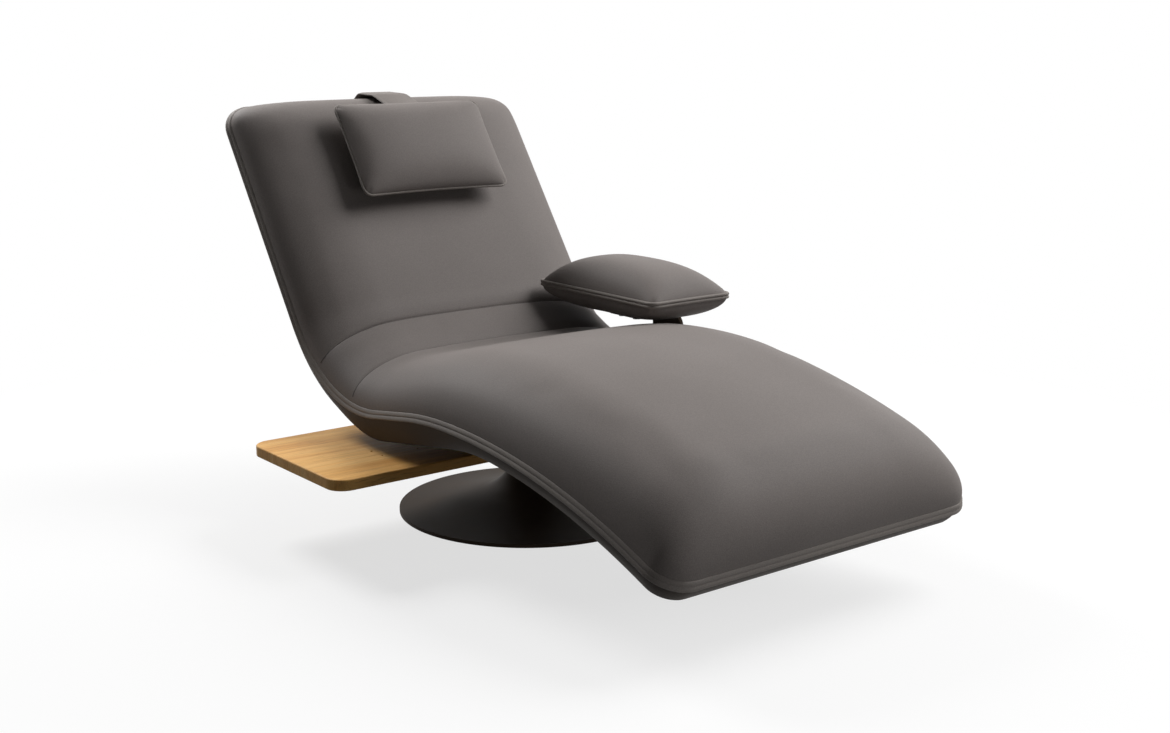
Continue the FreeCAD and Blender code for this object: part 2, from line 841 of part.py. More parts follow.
def bar_slot():
    """Room for the arm's bar where it passes through the far side of the frame and the shell, and bends up."""
    gap = float(d.hole_gap) * 6
    width = float(d.bar_width) + gap * 2
    height = float(d.bar_thickness + d.bar_slot_rise) + gap * 2
    low = FreeCAD.Vector(float(d.bar_root_x), float(bar_y) - width / 2,
                         float(carrier_top) - float(d.bar_thickness) - gap)
    return Part.makeBox(float(d.half_width), width, height, low)


def make_shell():
    inset = float(d.shell_inset)
    wall = float(d.shell_wall)
    shoulder = -float(d.welt_height) - float(d.soft_gap)
    outside = loft([shell_section(s, inset, 0.0, shoulder) for s in shell_stations(inset)])
    within = inset + wall
    inside = loft([shell_section(s, within, wall, shoulder + wall) for s in shell_stations(within)])
    shell = outside.cut(inside)
    mouth = Part.makeCylinder(float(d.journal_radius) + float(d.shell_wall), float(dip_z))
    shape_node("under_shell", shell.cut([mouth, bar_slot()]))


def make_side_frame(label, x_low, slots):
    """Steel side plate that follows the spine, deeper under the seat."""
    first = float(d.frame_end_inset)
    last = spine.length - first
    top = -float(d.frame_drop)
    margin = float(d.shell_wall) + float(d.frame_shell_gap)
    stations = [s for s in shell_stations(first) if s <= last]
    lower = Part.BSplineCurve()
    lower.interpolate([spine.place(s, margin - shell_depth_at(s), x_low) for s in stations])
    edges = spine.edges(first, last, top, x_low) + [lower.toShape()]
    for s in (first, last):
        edges.append(line(spine.place(s, top, x_low), spine.place(s, margin - shell_depth_at(s), x_low)))
    face = Part.Face(Part.Wire(Part.__sortEdges__(edges)))
    solid = face.extrude(FreeCAD.Vector(float(d.frame_thickness), 0, 0))
    shape_node(label, solid.cut(slots) if slots else solid)


def make_rail(label, s):
    """Rectangular tube across the body, between the side frames."""
    half = float(d.rail_width) / 2
    top = -float(d.rail_drop)
    low = top - float(d.rail_height)
    wall = float(d.rail_wall)
    reach = float(frame_inner_x)
    solid = spine.band(s - half, s + half, low, top, -reach, reach)
    hollow = spine.band(s - half + wall, s + half - wall, low + wall, top - wall, -reach, reach)
    shape_node(label, solid.cut(hollow))


def make_webbing(label, first, last, count):
    """Elastic straps across the side frames, evenly spread from first to last."""
    half = float(d.webbing_width) / 2
    low = -float(d.frame_drop) + float(d.hole_gap)
    top = low + float(d.webbing_thickness)
    reach = float(d.frame_half_width)
    straps = []
    for number in range(count):
        s = first + (last - first) * number / (count - 1)
        straps.append(spine.band(s - half, s + half, low, top, -reach, reach))
    shape_node(label, Part.makeCompound(straps))


def make_frame():
    make_side_frame("side_frame_left", float(frame_inner_x), [bar_slot()])
    make_side_frame("side_frame_right", -float(d.frame_half_width), [])
    edge = float(d.frame_end_inset) + float(d.rail_width)
    lumbar = float(d.back_length)
    knee = float(d.belly_end)
    make_rail("head_rail", edge)
    make_rail("lumbar_rail", lumbar)
    make_rail("knee_rail", knee)
    make_rail("foot_rail", spine.length - edge)
    room = edge + float(d.rail_width) + float(d.webbing_width) / 2
    aside = float(d.rail_width) + float(d.webbing_width) / 2
    make_webbing("back_webbing", room, lumbar - aside, 5)
    make_webbing("seat_webbing", lumbar + aside, knee - aside, 7)
    make_webbing("leg_webbing", knee + aside, spine.length - room, 4)


# Bent strips: the arm's bar and the pillow's strap.

def bent_strip(points, bend, thickness, width_axis, width, centre):
    """A flat strip along points, in the plane square to width_axis, with round bends between its runs."""
    half = thickness / 2
    normal = FreeCAD.Vector(width_axis)
    points = [point + normal * (centre - width / 2) for point in points]
    sides = []
    for offset in (-half, half):
        edges = []
        start = None
        for number, point in enumerate(points):
            before = (point - points[number - 1]).normalize() if number else None
            after = (points[number + 1] - point).normalize() if number + 1 < len(points) else None
            if before is None or after is None:
                direction = after or before
                end = point + normal.cross(direction) * offset
                if start is not None:
                    edges.append(line(start, end))
                start = end
                continue
            turn = before.getAngle(after)
            sign = 1 if normal.dot(before.cross(after)) > 0 else -1
            centre_point = point + (after - before).normalize() * (bend / math.cos(turn / 2))
            radius = bend - sign * offset
            arc_points = [centre_point - normal.cross(before) * (radius * sign),
                          centre_point - (after - before).normalize() * radius,
                          centre_point - normal.cross(after) * (radius * sign)]
            edges.append(line(start, arc_points[0]))
            edges.append(arc(*arc_points))
            start = arc_points[2]
        sides.append(edges)
    ends = [line(sides[0][0].Vertexes[0].Point, sides[1][0].Vertexes[0].Point),
            line(sides[0][-1].Vertexes[-1].Point, sides[1][-1].Vertexes[-1].Point)]
    face = Part.Face(Part.Wire(Part.__sortEdges__(sides[0] + sides[1] + ends)))
    return face.extrude(normal * width)


def bar_top_places():
    """Bolts that hold the bar to the board, in two rows along the bar's upper straight stretch."""
    inner = d.arm_board_x - d.arm_board_width / 2
    bend_start = d.half_width + d.bar_stand_off - d.bar_bend
    aside = d.bar_width / 4
    return bar_bolt_places(bar_y - aside, inner, bend_start) + bar_bolt_places(bar_y + aside, inner, bend_start)


def bar_foot_places():
    """Bolts that hold the bar's foot under the two beams."""
    return [place for beam_y in (d.front_beam_y, d.rear_beam_y)
            for place in bar_bolt_places(beam_y, d.bar_root_x, bar_root_end)]


def bar_foot():
    """The bar's wide foot under both beams."""
    front = float(d.front_beam_y - d.beam_width / 2)
    rear = float(d.rear_beam_y + d.beam_width / 2)
    corner = FreeCAD.Vector(float(d.bar_root_x), front, float(carrier_top) - float(d.bar_thickness))
    return Part.makeBox(float(d.bar_root_depth), rear - front, float(d.bar_thickness), corner)


def make_arm_bar():
    """Wide flat bar from under the beams, out through the shell, round the body and in under the arm cushion."""
    thickness = float(d.bar_thickness)
    low = float(carrier_top) - thickness / 2
    high = float(arm_board_low) - thickness / 2
    out = float(d.half_width + d.bar_stand_off)
    inner = float(d.arm_board_x - d.arm_board_width / 2)
    route = [(float(d.bar_root_x), low), (out, low), (out, high), (inner, high)]
    points = [FreeCAD.Vector(x, 0, z) for x, z in route]
    strip = bent_strip(points, float(d.bar_bend), thickness, (0, 1, 0), float(d.bar_width), float(bar_y))
    solid = strip.fuse(bar_foot()).removeSplitter()
    radius = d.bolt_radius + d.hole_gap
    drills = cylinder_tools(bar_foot_places(), radius, carrier_top - d.bar_thickness, carrier_top)
    drills += cylinder_tools(bar_top_places(), radius, arm_board_low - d.bar_thickness, arm_board_low)
    shape_node("arm_bar", solid.cut(drills))


def pillow_section(at, half, top, bottom):
    """A section that swells above and below its seam: on each face a crown between two rolled edges."""
    roll = half * PILLOW_ROLL
    edges = []
    for height, side in ((top, 1), (-bottom, -1)):
        shoulder = height * (1 - PILLOW_FALL)
        rise = height * rolled(0.3 * roll, roll) * (1 - 2 * PILLOW_FALL)
        edges += [
            arc(at(-side * half, 0), at(side * (0.3 * roll - half), rise),
                at(side * (roll - half), shoulder)),
            arc(at(side * (roll - half), shoulder), at(0, height), at(side * (half - roll), shoulder)),
            arc(at(side * (half - roll), shoulder), at(side * (half - 0.3 * roll), rise), at(side * half, 0)),
        ]
    return Part.Wire(edges)


def pillow_shape(at, width, length, top, bottom, corner, draw_in):
    """A sewn pillow as sections across its width: round corners, sides drawn in and a crown.

    at(u, v, t) gives the point at u across, v along and t above the seam.
    """
    wires = []
    for number in range(PILLOW_SECTIONS):
        share = -math.cos(math.pi * number / (PILLOW_SECTIONS - 1))
        from_end = width / 2 * (1 - abs(share))
        from_corner = corner - min(from_end, corner)
        short = corner - math.sqrt(max(corner ** 2 - from_corner ** 2, 0.0))
        half = length / 2 - short - draw_in * math.sqrt(1 - share ** 2)
        full = max(rolled(from_end, width / 2), PILLOW_END)
        section_at = functools.partial(at, width / 2 * share)
        wires.append(pillow_section(section_at, half, top * full, bottom * full))
    return loft(wires, ruled=True)


def open_below(low_x, high_x, low_y, high_y, top):
    """Room up into the arm cushion from below, with a gap all round."""
    gap = float(d.seat_gap)
    bottom = float(arm_plane - d.arm_bottom) - gap
    corner = FreeCAD.Vector(low_x - gap, low_y - gap, bottom)
    return Part.makeBox(high_x - low_x + 2 * gap, high_y - low_y + 2 * gap, top + gap - bottom, corner)


def board_pocket(board_length, centre_y):
    middle = float(d.arm_board_x)
    half = float(d.arm_board_width) / 2
    return open_below(middle - half, middle + half, centre_y - board_length / 2, centre_y + board_length / 2,
                      float(arm_board_top))


def bar_room():
    half = float(d.bar_width) / 2
    inner = float(d.arm_board_x - d.arm_board_width / 2)
    return open_below(inner, float(d.arm_outer_x), float(bar_y) - half, float(bar_y) + half, float(arm_board_low))


def make_arm():
    centre_x = float((d.arm_inner_x + d.arm_outer_x) / 2)
    centre_y = float((d.arm_front_y + d.arm_rear_y) / 2)
    plane = float(arm_plane)

    def at(u, v, t):
        return FreeCAD.Vector(centre_x + v, centre_y + u, plane + t)

    length = float(d.arm_rear_y - d.arm_front_y)
    width = float(d.arm_outer_x - d.arm_inner_x)
    pad = pillow_shape(at, length, width, float(d.arm_top), float(d.arm_bottom), float(d.pillow_corner),
                       float(d.arm_draw_in))
    board_length = length - 2 * float(d.arm_board_end)
    board = Part.makeBox(float(d.arm_board_width), board_length, float(d.arm_board_height),
                         FreeCAD.Vector(float(d.arm_board_x - d.arm_board_width / 2),
                                        centre_y - board_length / 2, float(arm_board_low)))
    shape_node("arm_pad", pad.cut([board_pocket(board_length, centre_y), bar_room()]))
    radius = d.bolt_radius + d.hole_gap
    shape_node("arm_board", board.cut(cylinder_tools(bar_top_places(), radius, arm_board_low, arm_board_top)))
    make_arm_bar()
    head = (d.bolt_head_radius, d.bolt_head_height, d.bolt_radius)
    under_pad = arm_board_low - d.bar_thickness
    bolts("arm_pad_bolts", bar_top_places(), under_pad, d.bar_thickness + d.arm_board_height,
          under_pad - d.bolt_head_height, *head)
    under_beam = carrier_top - d.bar_thickness
    bolts("arm_base_bolts", bar_foot_places(), under_beam, d.bar_thickness + d.bar_bolt_reach,
          under_beam - d.bolt_head_height, *head)


# The neck pillow with its strap and counterweight.

def make_pillow():
    centre_s = float(d.pillow_from_head + d.pillow_length / 2)
    half = float(d.pillow_thickness) / 2
    plane = float(d.back_crown + d.soft_gap * 2) + half

    def at(u, v, t):
        return spine.place(centre_s + v, plane + t, u)

    shape_node("neck_pillow", pillow_shape(at, float(d.pillow_width), float(d.pillow_length), half, half,
                                           float(d.pillow_corner), float(d.pillow_draw_in)))
    weight_first = float(d.weight_from_head)
    weight_last = weight_first + float(d.weight_length)
    near = -float(d.shell_depth) - float(d.soft_gap)
    far = near - float(d.weight_thickness)
    reach = float(d.weight_width) / 2
    pouch = spine.band(weight_first, weight_last, far, near, -reach, reach)
    rounding = float(d.weight_thickness) / 3
    shape_node("counterweight", pouch.makeFillet(rounding, pouch.Edges))
    make_straps(plane, weight_first, (near + far) / 2)


def make_straps(plane, weight_first, weight_t):
    """The strap over the top of the back, parted at its highest point: one half moves with each end."""
    gap = float(d.seat_gap)
    thickness = float(d.strap_thickness)
    clear = float(d.strap_stand_off) + thickness / 2
    pillow_edge = float(d.pillow_from_head + d.pillow_draw_in)
    over = (pillow_edge / 3, float(d.back_crown) * rolled(pillow_edge / 3, float(d.head_roll)) + 2 * clear)
    parting = float(d.strap_parting)
    front = [(pillow_edge - gap, plane), over, (-clear, over[1] / 3), (-clear, parting + gap)]
    rear = [(-clear, parting - gap), (-clear, weight_t), (weight_first - gap, weight_t)]
    bends = {"strap_front": float(d.strap_bend), "strap_rear": float(d.strap_rear_bend)}
    for label, route in (("strap_front", front), ("strap_rear", rear)):
        points = [spine.place(s, t) for s, t in route]
        shape_node(label, bent_strip(points, bends[label], thickness, (1, 0, 0), float(d.strap_width), 0.0))


# The tray on its swing arm.

def screw_places():
    """Four screws that hold the tray to its arm."""
    middle = d.tray_length / 2 - d.tray_outer_x
    half = d.screw_spacing / 2
    return [(middle + half * 2 * along, half * across) for along in (-1, 1) for across in (-1, 1)]


def make_tray():
    body = body_of("tray_board")
    sketch = sketch_on(body, "XY_Plane", "tray_outline")
    low_x = -d.tray_outer_x
    high_x = low_x + d.tray_length
    low_y = d.tray_front_y
    high_y = low_y + d.tray_width
    outline(sketch, [(low_x, low_y), (high_x, low_y), (high_x, high_y), (low_x, high_y)])
    for x, y in screw_places():
        circle(sketch, x, y, d.screw_radius + d.hole_gap)
    slab = pad(body, sketch, d.tray_height)
    doc.recompute()
    upright = [f"Edge{number}" for number, edge in enumerate(slab.Shape.Edges, start=1)
               if edge.Curve.TypeId == "Part::GeomLine" and abs(edge.tangentAt(edge.FirstParameter).z) > 0.9
               and abs(edge.Length - float(d.tray_height)) < 1e-6]
    corners = body.newObject("PartDesign::Fillet", "tray_corners")
    corners.Base = (slab, upright)
    bind(corners, Radius=d.tray_corner)
    doc.recompute()
    rims = [f"Edge{number}" for number, edge in enumerate(corners.Shape.Edges, start=1)
            if edge.BoundBox.ZLength < 1e-6 and edge.BoundBox.DiagonalLength > float(d.tray_corner)]
    edges = body.newObject("PartDesign::Fillet", "tray_edges")
    edges.Base = (corners, rims)
    bind(edges, Radius=d.tray_edge)
    body.Tip = edges
    bind(body, Placement__Base__z=tray_low)

    bush_outer = d.journal_radius + d.run_gap + d.tray_bush_wall
    ring("tray_bush", bush_outer, d.journal_radius + d.run_gap, collar_low, d.collar_height)
    make_tray_arm(bush_outer)
    bolts("tray_screws", screw_places(), tray_arm_low, d.tray_arm_height + d.screw_reach,
          tray_arm_low - d.screw_head_height, d.screw_head_radius, d.screw_head_height, d.screw_radius)


def make_tray_arm(bore):
    """Collar on the spindle with a flat arm that carries the tray."""
    zero = Size(0, "0")
    half = d.tray_arm_width / 2
    end = d.tray_arm_end - d.tray_outer_x
    body = body_of("tray_arm")
    flat = sketch_on(body, "XY_Plane", "arm_outline")
    bind(flat, AttachmentOffset__Base__z=d.tray_arm_lift)
    outline(flat, [(end, -half), (zero, -half), (zero, half), (end, half)])
    pad(body, flat, d.tray_arm_height)
    collar = sketch_on(body, "XY_Plane", "collar_outline")
    circle(collar, zero, zero, d.collar_radius)
    pad(body, collar, d.collar_height)
    doc.recompute()
    before = body.Shape.Volume
    holes = sketch_on(body, "XY_Plane", "arm_holes")
    circle(holes, zero, zero, bore)
    for x, y in screw_places():
        circle(holes, x, y, d.screw_radius + d.hole_gap)
    cut = body.newObject("PartDesign::Pocket", "arm_pocket")
    cut.Profile = holes
    cut.Reversed = True
    bind(cut, Length=d.collar_height)
    doc.recompute()
    if body.Shape.Volume >= before:
        raise RuntimeError("the tray arm's holes cut nothing")
    bind(body, Placement__Base__z=collar_low)


def write_parts():
    """Checks every object of the document, then writes each sub-part to its own file."""
    doc.recompute()
    for item in doc.Objects:
        if "Invalid" in item.State or "Error" in item.State:
            raise RuntimeError(f"{item.Label} failed: {item.State}")
    for item in NODES:
        if item.Shape.isNull() or not item.Shape.isValid():
            raise RuntimeError(f"{item.Label} has no valid shape")
    os.makedirs("parts", exist_ok=True)
    for item in NODES:
        item.Shape.exportStep(os.path.join("parts", f"{item.Label}.step"))
        box = item.Shape.BoundBox
        litres = item.Shape.Volume / 1e6
        print(f"{item.Label:18s} solids {len(item.Shape.Solids)}  {litres:8.4f} l  "
              f"x {box.XMin:.1f} {box.XMax:.1f}  y {box.YMin:.1f} {box.YMax:.1f}  "
              f"z {box.ZMin:.1f} {box.ZMax:.1f}")


make_floor_pad()
make_base_plate()
make_trumpet_cover()
make_column()
make_bearing()
make_spindle()
make_carrier()
make_beam("front_beam", d.front_beam_y)
make_beam("rear_beam", d.rear_beam_y)
make_frame()
make_shell()
make_welt()
make_cushion()
make_arm()
make_pillow()
make_tray()
write_parts()
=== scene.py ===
"""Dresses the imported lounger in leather, welts, pillow, strap, coat and oak, for the photo's view."""
import json
import math

import bmesh
import bpy
import numpy as np
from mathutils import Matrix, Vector


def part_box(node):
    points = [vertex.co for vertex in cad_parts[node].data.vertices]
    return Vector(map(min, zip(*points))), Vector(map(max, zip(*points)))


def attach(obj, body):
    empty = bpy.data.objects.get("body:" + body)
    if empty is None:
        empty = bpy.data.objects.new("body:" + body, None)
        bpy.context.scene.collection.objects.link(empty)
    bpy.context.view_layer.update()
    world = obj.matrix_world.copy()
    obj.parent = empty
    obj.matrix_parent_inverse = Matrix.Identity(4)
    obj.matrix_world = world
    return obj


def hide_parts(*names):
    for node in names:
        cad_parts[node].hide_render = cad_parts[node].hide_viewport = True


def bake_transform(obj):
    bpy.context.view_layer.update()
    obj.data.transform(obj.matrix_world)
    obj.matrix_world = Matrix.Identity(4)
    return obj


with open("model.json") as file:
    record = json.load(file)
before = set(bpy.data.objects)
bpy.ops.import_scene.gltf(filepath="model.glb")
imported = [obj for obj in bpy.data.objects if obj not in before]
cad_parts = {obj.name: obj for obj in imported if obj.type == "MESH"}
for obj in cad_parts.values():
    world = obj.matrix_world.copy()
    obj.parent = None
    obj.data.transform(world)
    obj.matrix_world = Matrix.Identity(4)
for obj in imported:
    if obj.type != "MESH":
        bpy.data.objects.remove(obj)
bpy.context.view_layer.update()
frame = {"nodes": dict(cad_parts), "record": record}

# The seam line of the body, from the head's edge to the foot's, in metres.
BACK_ANGLE = math.radians(55)
BACK_LENGTH = 0.575
LUMBAR_RADIUS = 0.340
RISE_ANGLE = math.radians(8.8)
RISE_LENGTH = 0.125
KNEE_RADIUS = 0.900
LEG_RADIUS = 1.680
LEG_REACH = 0.697
DIP = np.array([0.060, 0.2873])
# Samples along it, and how many of them from the head hold its lowest point, the dip.
SAMPLES = 4001
DIP_SAMPLES = 2200

# The cushion over that line.
HALF_WIDTH = 0.405
CORNER = 0.066
CORNER_POINTS = 13
BACK_CROWN = 0.095
SEAT_CROWN = 0.099
LEG_CROWN = 0.132
CROWN_FALL = 0.03
CROWN_FALL_LIMIT = 1.4
CROWN_RISE = 0.790
CROWN_FULL = 1.400
SIDE_ROLL = 0.190
HEAD_ROLL = 0.120
FOOT_ROLL = 0.170
ROLL_POWER = 2.2

# Its two sewn rows. Near the sides they bow towards the foot.
# The bow's reach is where it starts, is full, falls and ends.
SEAMS = (0.660, 0.815)
SEAM_BOW = 0.042
SEAM_BOW_POWER = 4
SEAM_BOW_REACH = (SEAMS[0] - 0.2, SEAMS[0], SEAMS[1] + 0.02, SEAMS[1] + 0.25)
SEAM_ROWS = (-0.016, -0.008, -0.003, 0.0, 0.003, 0.008, 0.016)
SEAM_SIDE = 0.9
SEAM_CREASE = 0.9
THREAD_RADIUS = 0.0011
THREAD_INSET = 2
# Depth and reach of a channel's shallow dip, and of the sharp line in its middle.
CHANNEL_DIP = (0.005, 0.024)
CHANNEL_LINE = (0.004, 0.003)

# The double welt round the cushion's edge.
WELT_HEIGHT = 0.018
WELT_WIDTH = 0.014
WELT_LEAN = 0.007
WELT_RIDGE = 0.0016
WELT_ROUND = 0.6
WELT_POINTS = 19
WELT_STEP = 0.008

# The shell under it: a sloping band takes most of the depth, then a round turn, then the flat underside.
SHELL_DEPTH = 0.048
SHELL_SLOPE = 0.3
SHELL_INSET = 0.004
SHELL_BAND = 0.9
SHELL_TURN = 0.014
SHELL_BULGE = 0.0025
SHELL_BEHIND_WELT = 0.002
SHELL_STEP = 0.014
SHELL_BAND_RINGS = 7
SHELL_TURN_RINGS = 6
UNDERSIDE_LAP = 0.012
UNDERSIDE_LIFT = 0.0003
UNDERSIDE_END = 0.12
UNDERSIDE_END_ROWS = 12
UNDERSIDE_ROWS = 120
UNDERSIDE_COLUMNS = 15
FOOT_DROP = 0.005
BELLY_DEPTH = 0.073
BELLY_START = 0.770
BELLY_FULL = 0.930
BELLY_FALL = 1.100
BELLY_END = 1.360

# Pillow, counterweight and arm cushion. A face is its height, its flatness and its fullness.
# A sewn form is the radius of its corners, how far its sides draw in and the spacing of its mesh.
PILLOW = (0.400, 0.238, 0.084)
PILLOW_SPARE = (0.004, 0.008)
PILLOW_START = 0.095
PILLOW_GAP = 0.0012
PILLOW_SEAM = BACK_CROWN + PILLOW_GAP + PILLOW[2] / 2
PILLOW_FRONT = (PILLOW[2] / 2 + 0.003, 2.3, 0.46)
PILLOW_BACK = (PILLOW[2] / 2 - 0.008, 3.2, 0.45)
PILLOW_SEWN = (0.022, 0.004, 0.008)
PILLOW_PIPING = 0.0032
WEIGHT = (0.130, 0.150, 0.024)
WEIGHT_START = 0.190
WEIGHT_GAP = 0.0006
WEIGHT_SEAM = -SHELL_DEPTH - WEIGHT_GAP - WEIGHT[2] / 2
WEIGHT_FACE = (WEIGHT[2] / 2, 3.2, 0.3)
WEIGHT_SEWN = (0.012, 0.002, 0.006)
WEIGHT_PIPING = 0.0022
ARM_RISE = 0.191
ARM_PLANE = DIP[1] + ARM_RISE
ARM_SPARE = 0.006
ARM_TOP = (0.070, 2.9, 0.55)
ARM_BOTTOM = (0.049, 3.6, 0.32)
ARM_SEWN = (0.020, 0.003, 0.009)
ARM_WELT_LIFTS = (0.0036, -0.0036)
ARM_WELT_RADIUS = 0.004

# The strap over the head. The hem's heights are shares of half the strap's thickness.
STRAP_WIDTH = 0.098
STRAP_ARCH = 0.006
STRAP_THICKNESS = 0.003
STRAP_OFF = 0.0105
STRAP_PARTING = 0.008
STRAP_HELD = 0.3
STRAP_STEP = 0.006
STRAP_BEND = 0.055
STRAP_REAR_BEND = 0.020
PILLOW_LAP = 0.006
WEIGHT_LAP = 0.004
BEND_POINTS = 13
BEND_SHARE = 0.49
HEM = 0.009
HEM_ROUND = 0.0012
HEM_STEP = 0.002
HEM_EDGE = 1.15
HEM_TOP = 1.2
HEM_GROOVE = 0.7

# How far the cover starts inside the welt and below its top, and the spacing of its mesh.
TUCK = 0.0045
TUCK_DROP = 0.004
TUCK_FADE = 0.02
STEP = 0.011
FLAT_COLUMNS = 38

# Cloth: a swell is its pressure, the most that the cover moves and how much the fabric grows.
CLOTH_FRAMES = 20
CLOTH_BENDING = 1.5
EVENING_TURNS = 8
SEAT_SWELL = (4.0, 0.003, 0.012)
PILLOW_SWELL = (5.0, 0.006, 0.012)
# The seat's cover starts this much below its crown. From its border it gets free to move over these distances.
SWELL_ROOM = 0.004
SWELL_FREE = (0.01, 0.09)

# Smaller differences than these count as none.
SAME_STATION = 1e-6
TINY = 1e-9

# The floor's size and brightness, for light on the object and as seen, and its fade into the surround.
FLOOR_HALF = 9
FLOOR_LIT = 0.14
FLOOR_SEEN = 0.9
FADE_REACH = (0.6, 2.0)
FADE_LEAST = 0.7
SURROUND_LIT = 0.05
LAMPS = (
    ("key", (3.0, -1.0, 3.4), 3.4, 232),
    ("rear", (-0.6, 2.4, 2.6), 1.4, 96),
    ("front", (0.2, -2.5, 0.2), 0.7, 6),
)
LAMP_AIM = (0, -0.1, 0.4)

# The camera, fitted to the photo.
CAMERA_LENS = 47.843
CAMERA_SENSOR = 36.0
CAMERA_PLACE = (-2.030, -2.793, 1.094)
CAMERA_DOWN = 12.433
CAMERA_TURN = -38.13


def run_table():
    """Stations, points and headings along the seam line, close together."""
    runs = (
        (BACK_LENGTH, 0.0),
        (LUMBAR_RADIUS * (BACK_ANGLE + RISE_ANGLE), -1 / LUMBAR_RADIUS),
        (RISE_LENGTH, 0.0),
        (KNEE_RADIUS * RISE_ANGLE, 1 / KNEE_RADIUS),
        (LEG_RADIUS * math.asin(LEG_REACH / LEG_RADIUS), 1 / LEG_RADIUS),
    )
    length = sum(run for run, bend in runs)
    stations = np.linspace(0, length, SAMPLES)
    bends = np.zeros(SAMPLES)
    start = 0.0
    for run, bend in runs:
        bends[(stations >= start) & (stations < start + run)] = bend
        start += run
    gap = stations[1]
    heading = math.pi + BACK_ANGLE + np.concatenate(([0], np.cumsum(bends[:-1] * gap)))
    middle = (heading[:-1] + heading[1:]) / 2
    steps = np.stack([np.cos(middle), np.sin(middle)], axis=1) * gap
    points = np.concatenate(([[0, 0]], np.cumsum(steps, axis=0)))
    lowest = np.argmin(abs(heading[:DIP_SAMPLES] - math.pi))
    return stations, points + DIP - points[lowest], heading


STATIONS, POINTS, HEADINGS = run_table()
LENGTH = STATIONS[-1]


def place(s, t, x):
    """Points s along the seam line, t above it and x across."""
    s, t, x = np.broadcast_arrays(np.asarray(s, float), np.asarray(t, float), np.asarray(x, float))
    inside = np.clip(s, 0, LENGTH)
    heading = np.interp(inside, STATIONS, HEADINGS)
    y = np.interp(inside, STATIONS, POINTS[:, 0]) + (s - inside) * np.cos(heading) + t * np.sin(heading)
    z = np.interp(inside, STATIONS, POINTS[:, 1]) + (s - inside) * np.sin(heading) - t * np.cos(heading)
    return np.stack([x, y, z], axis=-1)


def rolled(from_edge, roll):
    """How full a rolled edge stands, from 0 at the edge to 1 past the roll."""
    share = np.clip(np.asarray(from_edge, float) / roll, 0, 1)
    return np.sqrt(1 - (1 - share) ** ROLL_POWER)


def eased(value, first, last):
    """0 before first, 1 after last, and a smooth rise between them."""
    share = np.clip((np.asarray(value, float) - first) / (last - first), 0, 1)
    return share * share * (3 - 2 * share)


def half_width_at(s, inset):
    """Half the width of the round-cornered plan, drawn in by inset."""
    corner = CORNER - inset
    from_end = np.clip(np.minimum(s, LENGTH - s) - inset, 0, corner)
    return HALF_WIDTH - CORNER + np.sqrt(corner ** 2 - (corner - from_end) ** 2)


def crown_at(s):
    """Height of the cushion's top over the seam line, along its middle."""
    seat = eased(s, SEAMS[1], BELLY_FALL)
    leg = eased(s, CROWN_RISE, CROWN_FULL)
    height = BACK_CROWN + seat * (SEAT_CROWN - BACK_CROWN) + leg * (LEG_CROWN - SEAT_CROWN)
    return height * rolled(s - TUCK, HEAD_ROLL) * rolled(LENGTH - TUCK - s, FOOT_ROLL)


def shell_depth_at(s):
    """Depth of the shell's underside below the seam line."""
    rise = eased(s, BELLY_START, BELLY_FULL)
    fall = eased(s, BELLY_FALL, BELLY_END)
    foot = FOOT_DROP * eased(s, BELLY_END, LENGTH - CORNER)
    return SHELL_DEPTH + (rise - fall) * (BELLY_DEPTH - SHELL_DEPTH) + foot


def roll_places(roll, height, step):
    """Distances from an edge that are evenly spread over the rolled profile."""
    fine = np.linspace(0, 1, 400) ** 2 * roll
    rise = height * rolled(fine, roll)
    run = np.concatenate(([0], np.cumsum(np.hypot(np.diff(fine), np.diff(rise)))))
    count = max(int(run[-1] / step), 4)
    return np.interp(np.linspace(0, run[-1], count + 1), run, fine)


def turn_outward(mesh):
    """Makes every face point away from the inside."""
    form = bmesh.new()
    form.from_mesh(mesh)
    bmesh.ops.recalc_face_normals(form, faces=form.faces)
    form.to_mesh(mesh)
    form.free()


def mesh_object(name, points, faces):
    """A smooth mesh in the scene, with its faces outward."""
    mesh = bpy.data.meshes.new(name)
    mesh.from_pydata([tuple(point) for point in points], [], faces)
    turn_outward(mesh)
    mesh.shade_smooth()
    obj = bpy.data.objects.new(name, mesh)
    bpy.context.scene.collection.objects.link(obj)
    return obj


def dress(obj, body, slot, material, *nodes):
    """Gives a piece its material, hides the nodes that it stands for and hangs it on the body that carries it.
    """
    obj.data.materials.clear()
    obj.data.materials.append(material)
    if nodes:
        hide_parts(*nodes)
    if body:
        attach(obj, body)


def grid_faces(rows, columns):
    """The faces of a grid of points that are numbered row by row."""
    faces = []
    for row in range(rows - 1):
        for column in range(columns - 1):
            first = row * columns + column
            faces.append((first, first + 1, first + columns + 1, first + columns))
    return faces


def sweep(name, origins, sides, ups, profile, closed):
    """A profile of (side, up) points carried along origins."""
    count = len(profile)
    side = np.array([point[0] for point in profile])
    up = np.array([point[1] for point in profile])
    points = origins[:, None] + sides[:, None] * side[None, :, None] + ups[:, None] * up[None, :, None]
    faces = []
    rows = len(origins)
    for row in range(rows if closed else rows - 1):
        after = (row + 1) % rows
        for number in range(count):
            turn = (number + 1) % count
            faces.append((row * count + number, row * count + turn,
                          after * count + turn, after * count + number))
    if not closed:
        faces.append(tuple(range(count - 1, -1, -1)))
        faces.append(tuple(range((rows - 1) * count, rows * count)))
    return mesh_object(name, points.reshape(-1, 3), faces)


